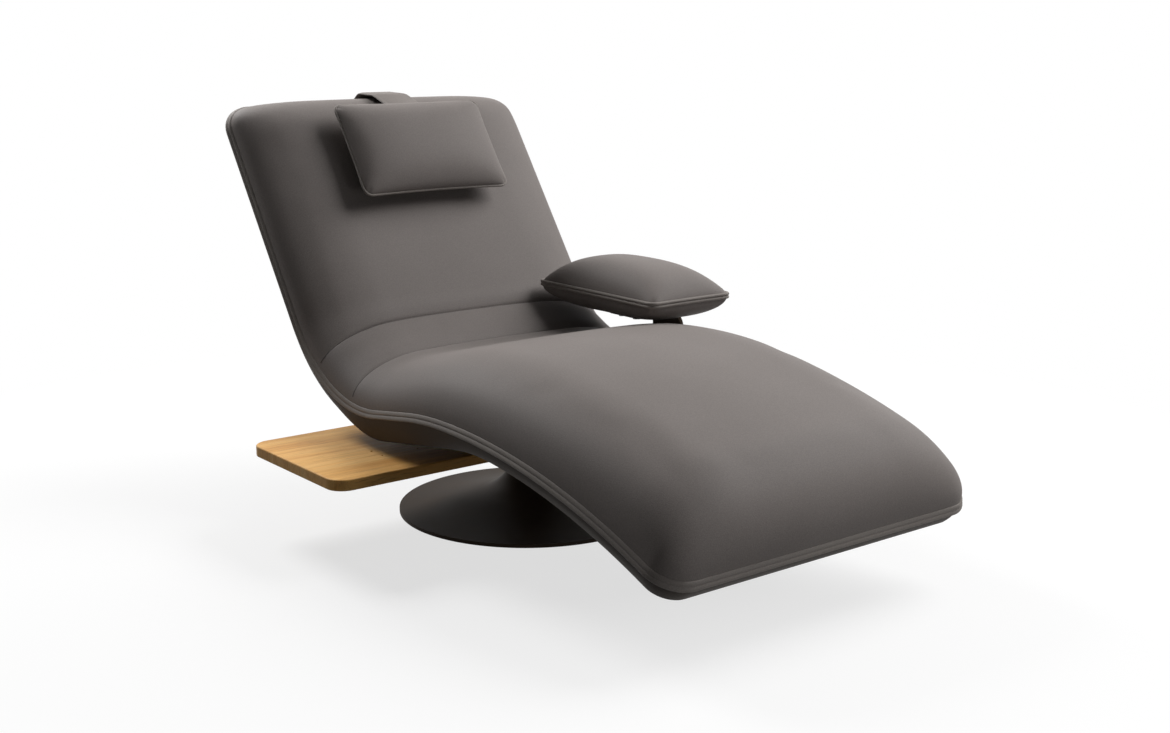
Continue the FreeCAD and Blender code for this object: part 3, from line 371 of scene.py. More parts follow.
def tube(name, points, radius, closed=True):
    """A round tube through points."""
    curve = bpy.data.curves.new(name, "CURVE")
    curve.dimensions = "3D"
    curve.bevel_depth = radius
    curve.bevel_resolution = 3
    spline = curve.splines.new("POLY")
    spline.points.add(len(points) - 1)
    for target, point in zip(spline.points, points):
        target.co = (*point, 1)
    spline.use_cyclic_u = closed
    holder = bpy.data.objects.new(name + "_line", curve)
    mesh = bpy.data.meshes.new_from_object(holder)
    mesh.name = name
    mesh.shade_smooth()
    bpy.data.objects.remove(holder)
    obj = bpy.data.objects.new(name, mesh)
    bpy.context.scene.collection.objects.link(obj)
    return obj


def swell(obj, pinned, pressure, cap, grow, loose=1.0):
    """Blows the cover up as cloth that is held at its seams, and keeps the result within cap of the start.

    loose is how freely each point moves, from 0 to 1.
    """
    mesh = obj.data
    group = obj.vertex_groups.new(name="seam")
    group.add([int(number) for number in pinned], 1.0, "REPLACE")
    start = np.empty(len(mesh.vertices) * 3)
    mesh.vertices.foreach_get("co", start)
    cloth = obj.modifiers.new("cloth", "CLOTH")
    cloth.settings.vertex_group_mass = "seam"
    cloth.settings.use_pressure = True
    cloth.settings.uniform_pressure_force = pressure
    cloth.settings.shrink_min = -grow
    cloth.settings.bending_stiffness = CLOTH_BENDING
    cloth.settings.effector_weights.gravity = 0
    cloth.point_cache.frame_start = 1
    cloth.point_cache.frame_end = CLOTH_FRAMES
    for number in range(1, CLOTH_FRAMES + 1):
        bpy.context.scene.frame_set(number)
    graph = bpy.context.evaluated_depsgraph_get()
    moved = np.empty(len(mesh.vertices) * 3)
    obj.evaluated_get(graph).data.vertices.foreach_get("co", moved)
    obj.modifiers.remove(cloth)
    bpy.context.scene.frame_set(1)
    normal = np.empty(len(mesh.vertices) * 3)
    mesh.vertices.foreach_get("normal", normal)
    normal = normal.reshape(-1, 3)
    shift = (moved - start).reshape(-1, 3)
    outward = cap * np.tanh(np.maximum(np.sum(shift * normal, axis=1), 0) / cap) * loose
    shift = normal * evened(mesh, outward, pinned)[:, None]
    mesh.vertices.foreach_set("co", start + shift.ravel())
    mesh.update()
    obj.vertex_groups.remove(group)


def evened(mesh, values, pinned):
    """Spreads each point's value over its neighbours a few times, and keeps the pinned points at 0."""
    edges = np.empty(len(mesh.edges) * 2, int)
    mesh.edges.foreach_get("vertices", edges)
    first, second = edges[0::2], edges[1::2]
    count = np.bincount(edges, minlength=len(values))
    for turn in range(EVENING_TURNS):
        total = np.bincount(first, values[second], len(values))
        total = total + np.bincount(second, values[first], len(values))
        values = 0.5 * values + 0.5 * total / count
        values[pinned] = 0
    return values


def subdivide(obj):
    """One applied step of subdivision."""
    modifier = obj.modifiers.new("smooth", "SUBSURF")
    modifier.levels = 1
    modifier.render_levels = 1
    graph = bpy.context.evaluated_depsgraph_get()
    mesh = bpy.data.meshes.new_from_object(obj.evaluated_get(graph))
    obj.modifiers.remove(modifier)
    mesh.name = obj.data.name
    mesh.shade_smooth()
    obj.data = mesh


def colour(red, green, blue):
    """A colour as seen on screen, made linear for a shader."""
    return tuple((value / 255) ** 2.2 for value in (red, green, blue)) + (1.0,)


class Shader:
    """A node material that starts from the principled shader."""

    def __init__(self, name):
        self.material = bpy.data.materials.new(name)
        self.material.use_nodes = True
        self.tree = self.material.node_tree
        self.principled = self.tree.nodes["Principled BSDF"]
        self.coordinates = self.tree.nodes.new("ShaderNodeTexCoord").outputs["Object"]

    def set(self, **values):
        for name, value in values.items():
            self.principled.inputs[name.replace("_", " ")].default_value = value

    def link(self, source, target):
        self.tree.links.new(source, target)

    def stretched(self, scale):
        mapping = self.tree.nodes.new("ShaderNodeMapping")
        mapping.inputs["Scale"].default_value = scale
        self.link(self.coordinates, mapping.inputs["Vector"])
        return mapping.outputs["Vector"]

    def noise(self, scale, detail=3.0, vector=None, distortion=0.0):
        node = self.tree.nodes.new("ShaderNodeTexNoise")
        node.inputs["Scale"].default_value = scale
        node.inputs["Detail"].default_value = detail
        node.inputs["Distortion"].default_value = distortion
        self.link(vector or self.coordinates, node.inputs["Vector"])
        return node.outputs["Fac"]

    def cells(self, scale):
        node = self.tree.nodes.new("ShaderNodeTexVoronoi")
        node.feature = "DISTANCE_TO_EDGE"
        node.inputs["Scale"].default_value = scale
        self.link(self.coordinates, node.inputs["Vector"])
        return node.outputs["Distance"]

    def ramp(self, source, *stops):
        node = self.tree.nodes.new("ShaderNodeValToRGB")
        elements = node.color_ramp.elements
        while len(elements) < len(stops):
            elements.new(0.5)
        for element, (position, tint) in zip(elements, stops):
            element.position = position
            element.color = tint
        self.link(source, node.inputs["Fac"])
        return node.outputs["Color"]

    def remap(self, source, low, high):
        node = self.tree.nodes.new("ShaderNodeMapRange")
        node.inputs["To Min"].default_value = low
        node.inputs["To Max"].default_value = high
        self.link(source, node.inputs["Value"])
        return node.outputs["Result"]

    def mix(self, share, first, second, blend="MIX"):
        node = self.tree.nodes.new("ShaderNodeMix")
        node.data_type = "RGBA"
        node.blend_type = blend
        if isinstance(share, float):
            node.inputs["Factor"].default_value = share
        else:
            self.link(share, node.inputs["Factor"])
        self.link(first, node.inputs["A"])
        self.link(second, node.inputs["B"])
        return node.outputs["Result"]

    def bump(self, *layers):
        """Stacks (height, strength, distance) layers into the normal."""
        normal = None
        for height, strength, distance in layers:
            node = self.tree.nodes.new("ShaderNodeBump")
            node.inputs["Strength"].default_value = strength
            node.inputs["Distance"].default_value = distance
            self.link(height, node.inputs["Height"])
            if normal:
                self.link(normal, node.inputs["Normal"])
            normal = node.outputs["Normal"]
        self.link(normal, self.principled.inputs["Normal"])

    def paint(self, tint):
        self.link(tint, self.principled.inputs["Base Color"])

    def rough(self, source):
        self.link(source, self.principled.inputs["Roughness"])


def leather(name, dark, light):
    """Fine-grained leather: soft mottling, a small pebble grain and a dull sheen."""
    shader = Shader(name)
    shader.set(Specular_IOR_Level=0.08, Sheen_Weight=0.04, Sheen_Roughness=0.5)
    shader.set(Sheen_Tint=colour(190, 184, 175))
    mottle = shader.noise(3.5, 4.0)
    grain = shader.noise(420.0, 2.0)
    tint = shader.ramp(mottle, (0.32, dark), (0.68, light))
    speck = shader.ramp(grain, (0.35, (0.86, 0.86, 0.86, 1)), (0.65, (1, 1, 1, 1)))
    shader.paint(shader.mix(1.0, tint, speck, "MULTIPLY"))
    shader.rough(shader.remap(mottle, 0.54, 0.64))
    shader.bump((shader.noise(22.0, 2.0), 0.05, 0.003), (shader.cells(330.0), 0.3, 0.0009))
    return shader.material


def powder_coat():
    """Dark, fine-textured powder coat."""
    shader = Shader("powder_coat")
    shader.set(Specular_IOR_Level=0.06)
    fine = shader.noise(900.0, 2.0)
    wide = shader.noise(14.0, 3.0)
    shader.paint(shader.ramp(wide, (0.3, colour(53, 45, 38)), (0.7, colour(61, 52, 44))))
    shader.rough(shader.remap(wide, 0.50, 0.60))
    shader.bump((fine, 0.12, 0.0004))
    return shader.material


def oak():
    """Oiled oak with its grain along the tray's long way, X."""
    shader = Shader("oak")
    shader.set(Specular_IOR_Level=0.15)
    rings = shader.noise(1.0, 4.0, shader.stretched((1.6, 26.0, 9.0)), 0.6)
    streaks = shader.noise(1.0, 5.0, shader.stretched((7.0, 210.0, 60.0)))
    pores = shader.noise(1.0, 2.0, shader.stretched((24.0, 900.0, 300.0)))
    tint = shader.ramp(rings, (0.30, colour(200, 144, 76)), (0.5, colour(220, 168, 98)),
                       (0.72, colour(232, 188, 122)))
    fine = shader.ramp(streaks, (0.3, (0.80, 0.78, 0.75, 1)), (0.65, (1, 1, 1, 1)))
    dots = shader.ramp(pores, (0.33, (0.72, 0.68, 0.62, 1)), (0.42, (1, 1, 1, 1)))
    shader.paint(shader.mix(1.0, shader.mix(1.0, tint, fine, "MULTIPLY"), dots, "MULTIPLY"))
    shader.rough(shader.remap(streaks, 0.42, 0.60))
    shader.bump((pores, 0.12, 0.0006))
    return shader.material


def plain(name, dark, light, rough, metallic, scale, depth):
    """A simple worked surface: uneven tint, uneven gloss and a fine bump."""
    shader = Shader(name)
    shader.set(Metallic=metallic)
    uneven = shader.noise(scale, 4.0)
    shader.paint(shader.ramp(uneven, (0.3, dark), (0.7, light)))
    shader.rough(shader.remap(uneven, rough - 0.07, rough + 0.07))
    shader.bump((shader.noise(scale * 12, 2.0), 0.15, depth))
    return shader.material


def woven():
    """Elastic webbing: one fine noise stands for its weave."""
    shader = Shader("webbing")
    shader.set(Roughness=0.85, Sheen_Weight=0.2)
    ribs = shader.noise(1.0, 1.0, shader.stretched((900.0, 900.0, 900.0)))
    shader.paint(shader.ramp(ribs, (0.3, colour(36, 36, 38)), (0.7, colour(66, 66, 70))))
    shader.bump((ribs, 0.5, 0.0008))
    return shader.material


cushion_leather = leather("cushion_leather", colour(119, 113, 110), colour(125, 119, 116))
trim_leather = leather("trim_leather", colour(117, 111, 108), colour(124, 118, 114))
# The welts' and pipings' leather is the cushion's leather made lighter: a painted highlight for their rolls,
# which catch the light.
piping_leather_painted_highlight = leather("piping_leather_painted_highlight", colour(131, 125, 121), colour(139, 133, 128))
# The shell's leather is the cushion's leather made darker: painted shade for the belly and foot, which sit in
# shadow.
shell_leather_painted_shade = leather("shell_leather_painted_shade", colour(72, 67, 63), colour(79, 74, 70))
thread_dark = plain("thread", colour(62, 58, 55), colour(72, 68, 64), 0.7, 0.0, 300.0, 0.0002)
NODE_MATERIALS = {
    "dark_metal": powder_coat(),
    "frame_steel": plain("frame_steel", colour(58, 58, 60), colour(74, 74, 76), 0.55, 0.4, 30.0, 0.0005),
    "fastener": plain("zinc", colour(150, 150, 152), colour(186, 186, 188), 0.36, 0.9, 60.0, 0.0003),
    "bush": plain("acetal", colour(214, 208, 194), colour(228, 223, 210), 0.45, 0.0, 40.0, 0.0003),
    "webbing": woven(),
    "board": plain("lining", colour(34, 32, 30), colour(48, 45, 42), 0.85, 0.0, 24.0, 0.0008),
    "oak": oak(),
    "floor_pad": plain("rubber", colour(38, 38, 38), colour(52, 52, 52), 0.8, 0.0, 50.0, 0.0006),
}


def dress_nodes():
    """Gives every CAD node that stays its material by its slot."""
    slots = {entry["node"]: entry["material_slot"] for entry in frame["record"]["subparts"]}
    for name, node in frame["nodes"].items():
        material = NODE_MATERIALS.get(slots.get(name))
        if material:
            node.data.materials.clear()
            node.data.materials.append(material)


def seam_drop(s):
    """How deep the two sewn channels lie: a shallow dip with a sharp line in it."""
    drop = 0.0
    for seam in SEAMS:
        dip = CHANNEL_DIP[0] * np.exp(-((s - seam) / CHANNEL_DIP[1]) ** 2)
        line = CHANNEL_LINE[0] * np.exp(-np.abs(s - seam) / CHANNEL_LINE[1])
        drop = drop + dip + line
    return drop


def body_rows():
    """Stations along the body, close over the rolled ends and at the sewn channels."""
    head = TUCK + roll_places(HEAD_ROLL, BACK_CROWN, STEP)
    foot = LENGTH - TUCK - roll_places(FOOT_ROLL, LEG_CROWN, STEP)[::-1]
    near = [seam + offset for seam in SEAMS for offset in SEAM_ROWS]
    stops = np.concatenate(([head[-1]], sorted(near), [foot[0]]))
    middle = [head[-1]]
    for first, last in zip(stops[:-1], stops[1:]):
        count = max(int(round((last - first) / STEP)), 1)
        middle += list(np.linspace(first, last, count + 1)[1:])
    return np.concatenate((head[:-1], middle, foot[1:]))


def make_cushion():
    """The long cushion's cover, swollen between its border and the two sewn rows, and the rows' threads."""
    rows = body_rows()
    reach = HALF_WIDTH - TUCK
    from_edge = roll_places(SIDE_ROLL, LEG_CROWN, STEP)
    flat = np.linspace(-(reach - SIDE_ROLL), reach - SIDE_ROLL, FLAT_COLUMNS)
    across = np.concatenate((-reach + from_edge[:-1], flat, reach - from_edge[::-1][1:]))
    share = across / reach
    half = half_width_at(rows, TUCK)[:, None]
    x = half * share[None, :]
    bow_start, bow_full, bow_fall, bow_end = SEAM_BOW_REACH
    bowed = eased(rows, bow_start, bow_full) * (1 - eased(rows, bow_fall, bow_end))
    s = rows[:, None] + SEAM_BOW * bowed[:, None] * np.abs(share)[None, :] ** SEAM_BOW_POWER
    middle = np.clip(np.abs(x) / (HALF_WIDTH - SIDE_ROLL), 0, CROWN_FALL_LIMIT)
    side = rolled(half - np.abs(x), SIDE_ROLL)
    sewn_in = seam_drop(rows)[:, None] * np.minimum(side, SEAM_SIDE)
    t = (crown_at(s) - SWELL_ROOM) * side * (1 - CROWN_FALL * middle ** 2) - sewn_in
    points = place(s, np.maximum(t, 0) - TUCK_DROP * (1 - np.clip(t / TUCK_FADE, 0, 1)), x)
    count, columns = x.shape
    faces = grid_faces(count, columns)
    left = [row * columns for row in range(count)]
    right = [row * columns + columns - 1 for row in range(count)]
    head = list(range(columns))
    faces.append(tuple(head[::-1] + [left[1], right[1]]))
    foot = list(range((count - 1) * columns, count * columns))
    faces.append(tuple(foot + [right[-2], left[-2]]))
    for row in range(1, count - 2):
        faces.append((left[row], left[row + 1], right[row + 1], right[row]))
    obj = mesh_object("seat_cover", points.reshape(-1, 3), faces)
    sewn = [row for row, station in enumerate(rows)
            if min(abs(station - seam) for seam in SEAMS) < SAME_STATION]
    border = set(left) | set(right) | set(head) | set(foot)
    pinned = set(border)
    for row in sewn:
        pinned |= set(range(row * columns, (row + 1) * columns))
    from_end = np.minimum(s - rows[0], rows[-1] - s)
    loose = eased(np.minimum(half - np.abs(x), from_end), *SWELL_FREE)
    swell(obj, sorted(pinned), *SEAT_SWELL, loose.ravel())
    threads = []
    for row in sewn:
        stitched = range(row * columns + THREAD_INSET, (row + 1) * columns - THREAD_INSET)
        threads.append(loop_points(obj, stitched))
    crease_rows(obj, sewn, columns, border)
    subdivide(obj)
    dress(obj, "seat", "cushion", cushion_leather, "seat_cushion")
    for number, thread in enumerate(threads):
        line = tube("seat_seam_%d" % (number + 1), thread, THREAD_RADIUS, False)
        dress(line, "seat", "cushion", thread_dark)


def crease_rows(obj, sewn, columns, border):
    """Keeps the sewn rows and the border sharp under subdivision."""
    mesh = obj.data
    crease = mesh.attributes.new("crease_edge", "FLOAT", "EDGE")
    sharp = set(sewn)
    for edge in mesh.edges:
        first, second = edge.vertices
        if first in border and second in border:
            crease.data[edge.index].value = 1.0
        elif first // columns == second // columns and first // columns in sharp:
            crease.data[edge.index].value = SEAM_CREASE


def outline(inset, step):
    """The plan's closed outline, drawn in by inset.

    It gives stations, offsets across, and the outward way at each point as its shares along and across.
    """
    straight = LENGTH - 2 * CORNER
    corner = CORNER - inset
    centre_x = HALF_WIDTH - CORNER
    turns = np.linspace(0, math.pi / 2, CORNER_POINTS)
    ends = np.linspace(-centre_x, centre_x, int(2 * centre_x / step) + 1)[1:-1]
    s, x, out_s, out_x = [], [], [], []

    def add(station, offset, along, aside):
        s.append(station)
        x.append(offset)
        out_s.append(along)
        out_x.append(aside)

    for offset in ends:
        add(inset, offset, -1.0, 0.0)
    for turn in turns:
        add(CORNER - corner * math.cos(turn), centre_x + corner * math.sin(turn),
            -math.cos(turn), math.sin(turn))
    for share in np.linspace(0, 1, int(straight / step) + 1)[1:-1]:
        add(CORNER + straight * share, HALF_WIDTH - inset, 0.0, 1.0)
    for turn in turns:
        add(LENGTH - CORNER + corner * math.sin(turn), centre_x + corner * math.cos(turn),
            math.sin(turn), math.cos(turn))
    half_loop = len(s)
    for offset in -ends:
        add(LENGTH - inset, offset, 1.0, 0.0)
    for number in range(half_loop - 1, len(ends) - 1, -1):
        add(s[number], -x[number], out_s[number], -out_x[number])
    return np.array(s), np.array(x), np.array(out_s), np.array(out_x)


def along_and_up(s):
    """The ways along the seam line and up from it at stations s."""
    heading = np.interp(np.clip(s, 0, LENGTH), STATIONS, HEADINGS)
    zero = np.zeros_like(heading)
    along = np.stack([zero, np.cos(heading), np.sin(heading)], axis=-1)
    up = np.stack([zero, np.sin(heading), -np.cos(heading)], axis=-1)
    return along, up


def make_welt():
    """Two flat rolls side by side round the whole edge."""
    s, x, out_s, out_x = outline(0.0, WELT_STEP)
    along, up = along_and_up(s)
    aside = np.array([1.0, 0.0, 0.0])
    sides = along * out_s[:, None] + aside * out_x[:, None]
    profile = [(-WELT_WIDTH, 0.0)]
    for share in np.linspace(0, 1, WELT_POINTS):
        ridge = WELT_RIDGE * abs(math.sin(2 * math.pi * share)) ** WELT_ROUND
        profile.append((-TUCK + WELT_LEAN * share + ridge, -WELT_HEIGHT * share))
    profile.append((-WELT_WIDTH, -WELT_HEIGHT))
    obj = sweep("double_welt", place(s, 0.0, x), sides, up, profile, True)
    # The welt's leather is lightened: a painted highlight.
    dress(obj, "seat", "leather", piping_leather_painted_highlight, "edge_welt")


def make_shell():
    """The covered shell: a sloping band under the welt, a round turn and the flat underside."""
    rings = [(share, 0.0) for share in np.linspace(0, 1, SHELL_BAND_RINGS)]
    rings += [(1.0, turn) for turn in np.linspace(0, 1, SHELL_TURN_RINGS)[1:]]
    base_s, base_x, out_s, out_x = outline(0.0, SHELL_STEP)
    depth = shell_depth_at(base_s)
    shoulder = WELT_HEIGHT - SHELL_BEHIND_WELT
    points = []
    for share, turn in rings:
        angle = turn * math.pi / 2
        below = shoulder + (depth - shoulder) * (share * SHELL_BAND + (1 - SHELL_BAND) * math.sin(angle))
        slope = (depth - shoulder) * SHELL_SLOPE * share * SHELL_BAND
        inset = SHELL_INSET + slope + SHELL_TURN * (1 - math.cos(angle))
        bulge = SHELL_BULGE * math.sin(share * math.pi)
        s = base_s - (inset - bulge) * out_s
        x = base_x - (inset - bulge) * out_x
        points.append(place(s, -below, x))
    count = len(base_s)
    faces = []
    for ring in range(len(rings) - 1):
        for number in range(count):
            after = (number + 1) % count
            faces.append((ring * count + number, (ring + 1) * count + number,
                          (ring + 1) * count + after, ring * count + after))
    end = SHELL_INSET + (SHELL_DEPTH - shoulder) * SHELL_SLOPE * SHELL_BAND + UNDERSIDE_LAP
    rows = np.concatenate((np.linspace(end, UNDERSIDE_END, UNDERSIDE_END_ROWS),
                           np.linspace(UNDERSIDE_END, LENGTH - UNDERSIDE_END, UNDERSIDE_ROWS)[1:-1],
                           LENGTH - np.linspace(UNDERSIDE_END, end, UNDERSIDE_END_ROWS)))
    inset = SHELL_INSET + (shell_depth_at(rows) - shoulder) * SHELL_SLOPE * SHELL_BAND + UNDERSIDE_LAP
    half = half_width_at(rows, end) + end - inset
    x = half[:, None] * np.linspace(-1, 1, UNDERSIDE_COLUMNS)[None, :]
    bottom = place(rows[:, None], -shell_depth_at(rows)[:, None] + UNDERSIDE_LIFT, x)
    start = len(points) * count
    for face in grid_faces(len(rows), UNDERSIDE_COLUMNS):
        faces.append(tuple(start + corner for corner in face[::-1]))
    obj = mesh_object("shell_cover", np.concatenate([np.concatenate(points), bottom.reshape(-1, 3)]), faces)
    # Its leather is darkened: painted shade.
    dress(obj, "seat", "leather", shell_leather_painted_shade, "under_shell")


def pillow_mesh(name, at, width, length, top, bottom, corner, draw_in, step):
    """A sewn pillow: two crowned faces that meet in a seam, with round corners and drawn-in sides.

    top and bottom are (height, flatness, fullness): how high a face swells, and how flat and how full.
    """
    across = np.sin(np.linspace(-1, 1, int(width / step)) * math.pi / 2)
    lengthwise = np.sin(np.linspace(-1, 1, int(length / step)) * math.pi / 2)
    a, b = np.meshgrid(across, lengthwise, indexing="ij")
    u = a * (width / 2 - draw_in * (1 - b ** 2))
    v = b * (length / 2 - draw_in * (1 - a ** 2))
    over_u = np.abs(u) - (width / 2 - corner)
    over_v = np.abs(v) - (length / 2 - corner)
    in_corner = (over_u > 0) & (over_v > 0)
    farthest = np.maximum(np.hypot(over_u, over_v), TINY)
    squeeze = np.where(in_corner, np.maximum(over_u, over_v) / farthest, 1.0)
    u = np.where(in_corner, np.sign(u) * (width / 2 - corner + over_u * squeeze), u)
    v = np.where(in_corner, np.sign(v) * (length / 2 - corner + over_v * squeeze), v)
    heights = []
    for height, flatness, fullness in (top, bottom):
        heights.append(height * ((1 - np.abs(a) ** flatness) * (1 - np.abs(b) ** flatness)) ** fullness)
    upper = at(u, v, heights[0])
    lower = at(u, v, -heights[1])
    rows, columns = a.shape
    border = (np.abs(a) > 1 - TINY) | (np.abs(b) > 1 - TINY)
    index = np.arange(rows * columns).reshape(rows, columns)
    below = index.copy()
    below[~border] = rows * columns + np.arange(int((~border).sum()))
    points = np.concatenate((upper.reshape(-1, 3), lower[~border]))
    faces = []
    for row in range(rows - 1):
        for column in range(columns - 1):
            corners = ((row, column), (row + 1, column), (row + 1, column + 1), (row, column + 1))
            faces.append(tuple(int(index[spot]) for spot in corners))
            faces.append(tuple(int(below[spot]) for spot in corners[::-1]))
    loop = list(index[:, 0]) + list(index[-1, 1:]) + list(index[-2::-1, -1]) + list(index[0, -2:0:-1])
    obj = mesh_object(name, points, faces)
    return obj, [int(number) for number in loop]


def loop_points(obj, loop):
    """Where the numbered points of a mesh are."""
    return np.array([obj.data.vertices[number].co for number in loop])


def make_pillow():
    """The neck pillow, with piping in its seam."""
    width = PILLOW[0] + PILLOW_SPARE[0]
    length = PILLOW[1] + PILLOW_SPARE[1]
    centre = PILLOW_START + length / 2

    def at(u, v, t):
        return place(centre + v, PILLOW_SEAM + t, u)

    obj, loop = pillow_mesh("neck_pillow_cover", at, width, length, PILLOW_FRONT, PILLOW_BACK, *PILLOW_SEWN)
    seam = loop_points(obj, loop)
    swell(obj, loop, *PILLOW_SWELL)
    subdivide(obj)
    dress(obj, "pillow", "cushion", cushion_leather, "neck_pillow")
    # The piping's leather is lightened: a painted highlight.
    piping = tube("pillow_piping", seam, PILLOW_PIPING)
    dress(piping, "pillow", "leather", piping_leather_painted_highlight)


def make_arm_pad():
    """The arm cushion, with a double welt in its seam."""
    low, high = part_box("arm_pad")
    centre_x = (low[0] + high[0]) / 2
    centre_y = (low[1] + high[1]) / 2

    def at(u, v, t):
        return np.stack(np.broadcast_arrays(centre_x + v, centre_y + u, ARM_PLANE + t), axis=-1)

    width = high[1] - low[1]
    length = high[0] - low[0] + ARM_SPARE
    obj, loop = pillow_mesh("arm_pad_cover", at, width, length, ARM_TOP, ARM_BOTTOM, *ARM_SEWN)
    seam = loop_points(obj, loop)
    swell(obj, loop, *PILLOW_SWELL)
    subdivide(obj)
    dress(obj, "seat", "cushion", cushion_leather, "arm_pad")
    # The arm welts' leather is lightened: a painted highlight.
    for number, lift in enumerate(ARM_WELT_LIFTS):
        roll = tube("arm_welt_%d" % (number + 1), seam + np.array([0, 0, lift]), ARM_WELT_RADIUS)
        dress(roll, "seat", "leather", piping_leather_painted_highlight)


def bent_path(corners, bend, step):
    """Points along straight runs with round bends, in a plane."""
    corners = [np.array(corner, float) for corner in corners]
    points = [corners[0]]
    for before, corner, after in zip(corners[:-2], corners[1:-1], corners[2:]):
        into = (corner - before) / np.linalg.norm(corner - before)
        out = (after - corner) / np.linalg.norm(after - corner)
        angle = math.acos(np.clip(np.dot(into, out), -1, 1))
        reach = min(bend * math.tan(angle / 2), BEND_SHARE * np.linalg.norm(after - corner),
                    BEND_SHARE * np.linalg.norm(corner - before))
        for share in np.linspace(0, 1, BEND_POINTS):
            first = corner - into * reach * (1 - share)
            second = corner + out * reach * share
            points.append(first + (second - first) * share)
    points.append(corners[-1])
    points = np.array(points)
    run = np.concatenate(([0], np.cumsum(np.linalg.norm(np.diff(points, axis=0), axis=1))))
    places = np.linspace(0, run[-1], int(run[-1] / step) + 1)
    return np.stack([np.interp(places, run, points[:, axis]) for axis in (0, 1)], axis=1)


def strap_profile():
    """A flat band with thicker hemmed edges, a little arched."""
    half = STRAP_WIDTH / 2
    thin = STRAP_THICKNESS / 2
    hem = [(half, 0.0), (half - HEM_ROUND, thin * HEM_EDGE), (half - HEM + HEM_STEP, thin * HEM_TOP),
           (half - HEM, thin * HEM_GROOVE), (half - HEM - HEM_STEP, thin)]
    band = [(-side, up) for side, up in hem] + hem[::-1]
    band += [(half - HEM_ROUND, -thin), (HEM_ROUND - half, -thin)]
    return [(side, up - STRAP_ARCH * (side / half) ** 2) for side, up in band]


def make_strap(name, corners, bend):
    """A strap along corners (station, height), and the points that it follows."""
    path = bent_path(corners, bend, STRAP_STEP)
    points = place(path[:, 0], path[:, 1], 0.0)
    way = np.gradient(points, axis=0)
    way /= np.linalg.norm(way, axis=1, keepdims=True)
    aside = np.tile(np.array([1.0, 0.0, 0.0]), (len(points), 1))
    return sweep(name, points, aside, np.cross(aside, way), strap_profile(), False), points


def make_straps():
    """The strap in two halves that part behind the head: to the pillow and to the counterweight."""
    tail = PILLOW_START + PILLOW_LAP
    hump = tail / 3
    rise = float(BACK_CROWN * rolled(hump, HEAD_ROLL)) + 2 * STRAP_OFF
    parting = (-STRAP_OFF, STRAP_PARTING)
    over = ((tail, PILLOW_SEAM), (hump, rise), (-STRAP_OFF, rise / 3), parting)
    front, route = make_strap("strap_over_head", over, STRAP_BEND)
    dress(front, None, "leather", trim_leather, "strap_front")
    # Only the strap above the cushion's crown stretches as the pillow slides; this point lies on that part,
    # and nothing here uses it.
    above = place(hump + STRAP_HELD * (tail - hump), rise + STRAP_HELD * (PILLOW_SEAM - rise), 0.0)
    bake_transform(front)
    behind = (parting, (-STRAP_OFF, WEIGHT_SEAM), (WEIGHT_START + WEIGHT_LAP, WEIGHT_SEAM))
    rear, route = make_strap("strap_behind_head", behind, STRAP_REAR_BEND)
    dress(rear, None, "leather", trim_leather, "strap_rear")
    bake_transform(rear)


def make_counterweight():
    """The weighted pouch behind the back, with piping in its seam."""
    centre = WEIGHT_START + WEIGHT[1] / 2

    def at(u, v, t):
        return place(centre + v, WEIGHT_SEAM + t, u)

    obj, loop = pillow_mesh("weight_pouch", at, WEIGHT[0], WEIGHT[1], WEIGHT_FACE, WEIGHT_FACE, *WEIGHT_SEWN)
    seam = loop_points(obj, loop)
    subdivide(obj)
    dress(obj, "counterweight", "leather", trim_leather, "counterweight")
    piping = tube("weight_piping", seam, WEIGHT_PIPING)
    dress(piping, "counterweight", "leather", trim_leather)


def seen_rays(tree):
    """1 for what the camera sees, straight or through a gloss or glass, and 0 for light on the object."""
    path = tree.nodes.new("ShaderNodeLightPath")
    seen = path.outputs["Is Camera Ray"]
    for name in ("Is Glossy Ray", "Is Transmission Ray"):
        either = tree.nodes.new("ShaderNodeMath")
        either.operation = "MAXIMUM"
        tree.links.new(seen, either.inputs[0])
        tree.links.new(path.outputs[name], either.inputs[1])
        seen = either.outputs["Value"]
    return seen


def grey(value):
    return (value, value, value, 1)


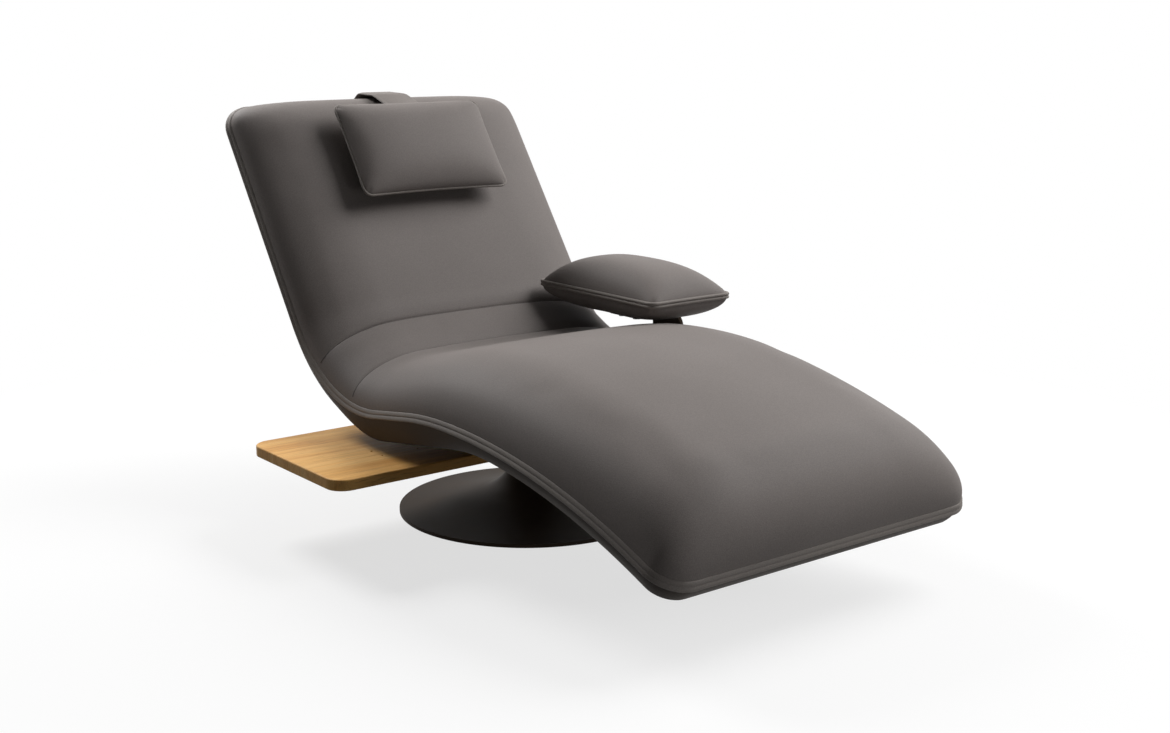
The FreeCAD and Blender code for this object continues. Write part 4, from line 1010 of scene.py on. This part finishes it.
def make_floor():
    """A floor that keeps the object's shadow and fades into the white surround."""
    far = FLOOR_HALF
    corners = [(-far, -far, 0), (far, -far, 0), (far, far, 0), (-far, far, 0)]
    floor = mesh_object("floor", corners, [(0, 1, 2, 3)])
    shader = Shader("floor")
    shader.set(Roughness=0.9, Specular_IOR_Level=0.1)
    tree = shader.tree
    seen = seen_rays(tree)
    shader.paint(shader.ramp(seen, (0.0, grey(FLOOR_LIT)), (1.0, grey(FLOOR_SEEN))))
    distance = tree.nodes.new("ShaderNodeVectorMath")
    distance.operation = "LENGTH"
    shader.link(shader.coordinates, distance.inputs[0])
    fade = tree.nodes.new("ShaderNodeMapRange")
    fade.inputs["From Min"].default_value = FADE_REACH[0]
    fade.inputs["From Max"].default_value = FADE_REACH[1]
    fade.inputs["To Min"].default_value = FADE_LEAST
    shader.link(distance.outputs["Value"], fade.inputs["Value"])
    share = tree.nodes.new("ShaderNodeMath")
    share.operation = "MULTIPLY"
    shader.link(seen, share.inputs[0])
    shader.link(fade.outputs["Result"], share.inputs[1])
    white = tree.nodes.new("ShaderNodeEmission")
    mixed = tree.nodes.new("ShaderNodeMixShader")
    shader.link(share.outputs["Value"], mixed.inputs[0])
    shader.link(shader.principled.outputs["BSDF"], mixed.inputs[1])
    shader.link(white.outputs["Emission"], mixed.inputs[2])
    shader.link(mixed.outputs["Shader"], tree.nodes["Material Output"].inputs["Surface"])
    floor.data.materials.append(shader.material)


def make_surround():
    """A world that is seen as white and lights the object only a little."""
    world = bpy.data.worlds.new("studio")
    bpy.context.scene.world = world
    world.use_nodes = True
    tree = world.node_tree
    background = tree.nodes["Background"]
    background.inputs["Color"].default_value = (1, 1, 1, 1)
    level = tree.nodes.new("ShaderNodeMapRange")
    level.inputs["To Min"].default_value = SURROUND_LIT
    level.inputs["To Max"].default_value = 1.0
    tree.links.new(seen_rays(tree), level.inputs["Value"])
    tree.links.new(level.outputs["Result"], background.inputs["Strength"])


def make_lamps():
    """Soft round lamps that face the object."""
    for name, spot, size, power in LAMPS:
        lamp = bpy.data.lights.new(name, "AREA")
        lamp.shape = "DISK"
        lamp.size = size
        lamp.energy = power
        obj = bpy.data.objects.new(name, lamp)
        bpy.context.scene.collection.objects.link(obj)
        obj.location = spot
        obj.rotation_euler = (obj.location - Vector(LAMP_AIM)).to_track_quat("Z", "Y").to_euler()


def make_camera():
    """The camera at the photo's place and angle."""
    camera = bpy.data.cameras.new("camera")
    camera.lens = CAMERA_LENS
    camera.sensor_width = CAMERA_SENSOR
    obj = bpy.data.objects.new("camera", camera)
    bpy.context.scene.collection.objects.link(obj)
    obj.location = CAMERA_PLACE
    obj.rotation_euler = (math.radians(90 - CAMERA_DOWN), 0, math.radians(CAMERA_TURN))
    bpy.context.scene.camera = obj


dress_nodes()
make_cushion()
make_welt()
make_shell()
make_pillow()
make_arm_pad()
make_straps()
make_counterweight()
bpy.context.scene.view_settings.view_transform = "Standard"
make_floor()
make_surround()
make_lamps()
make_camera()
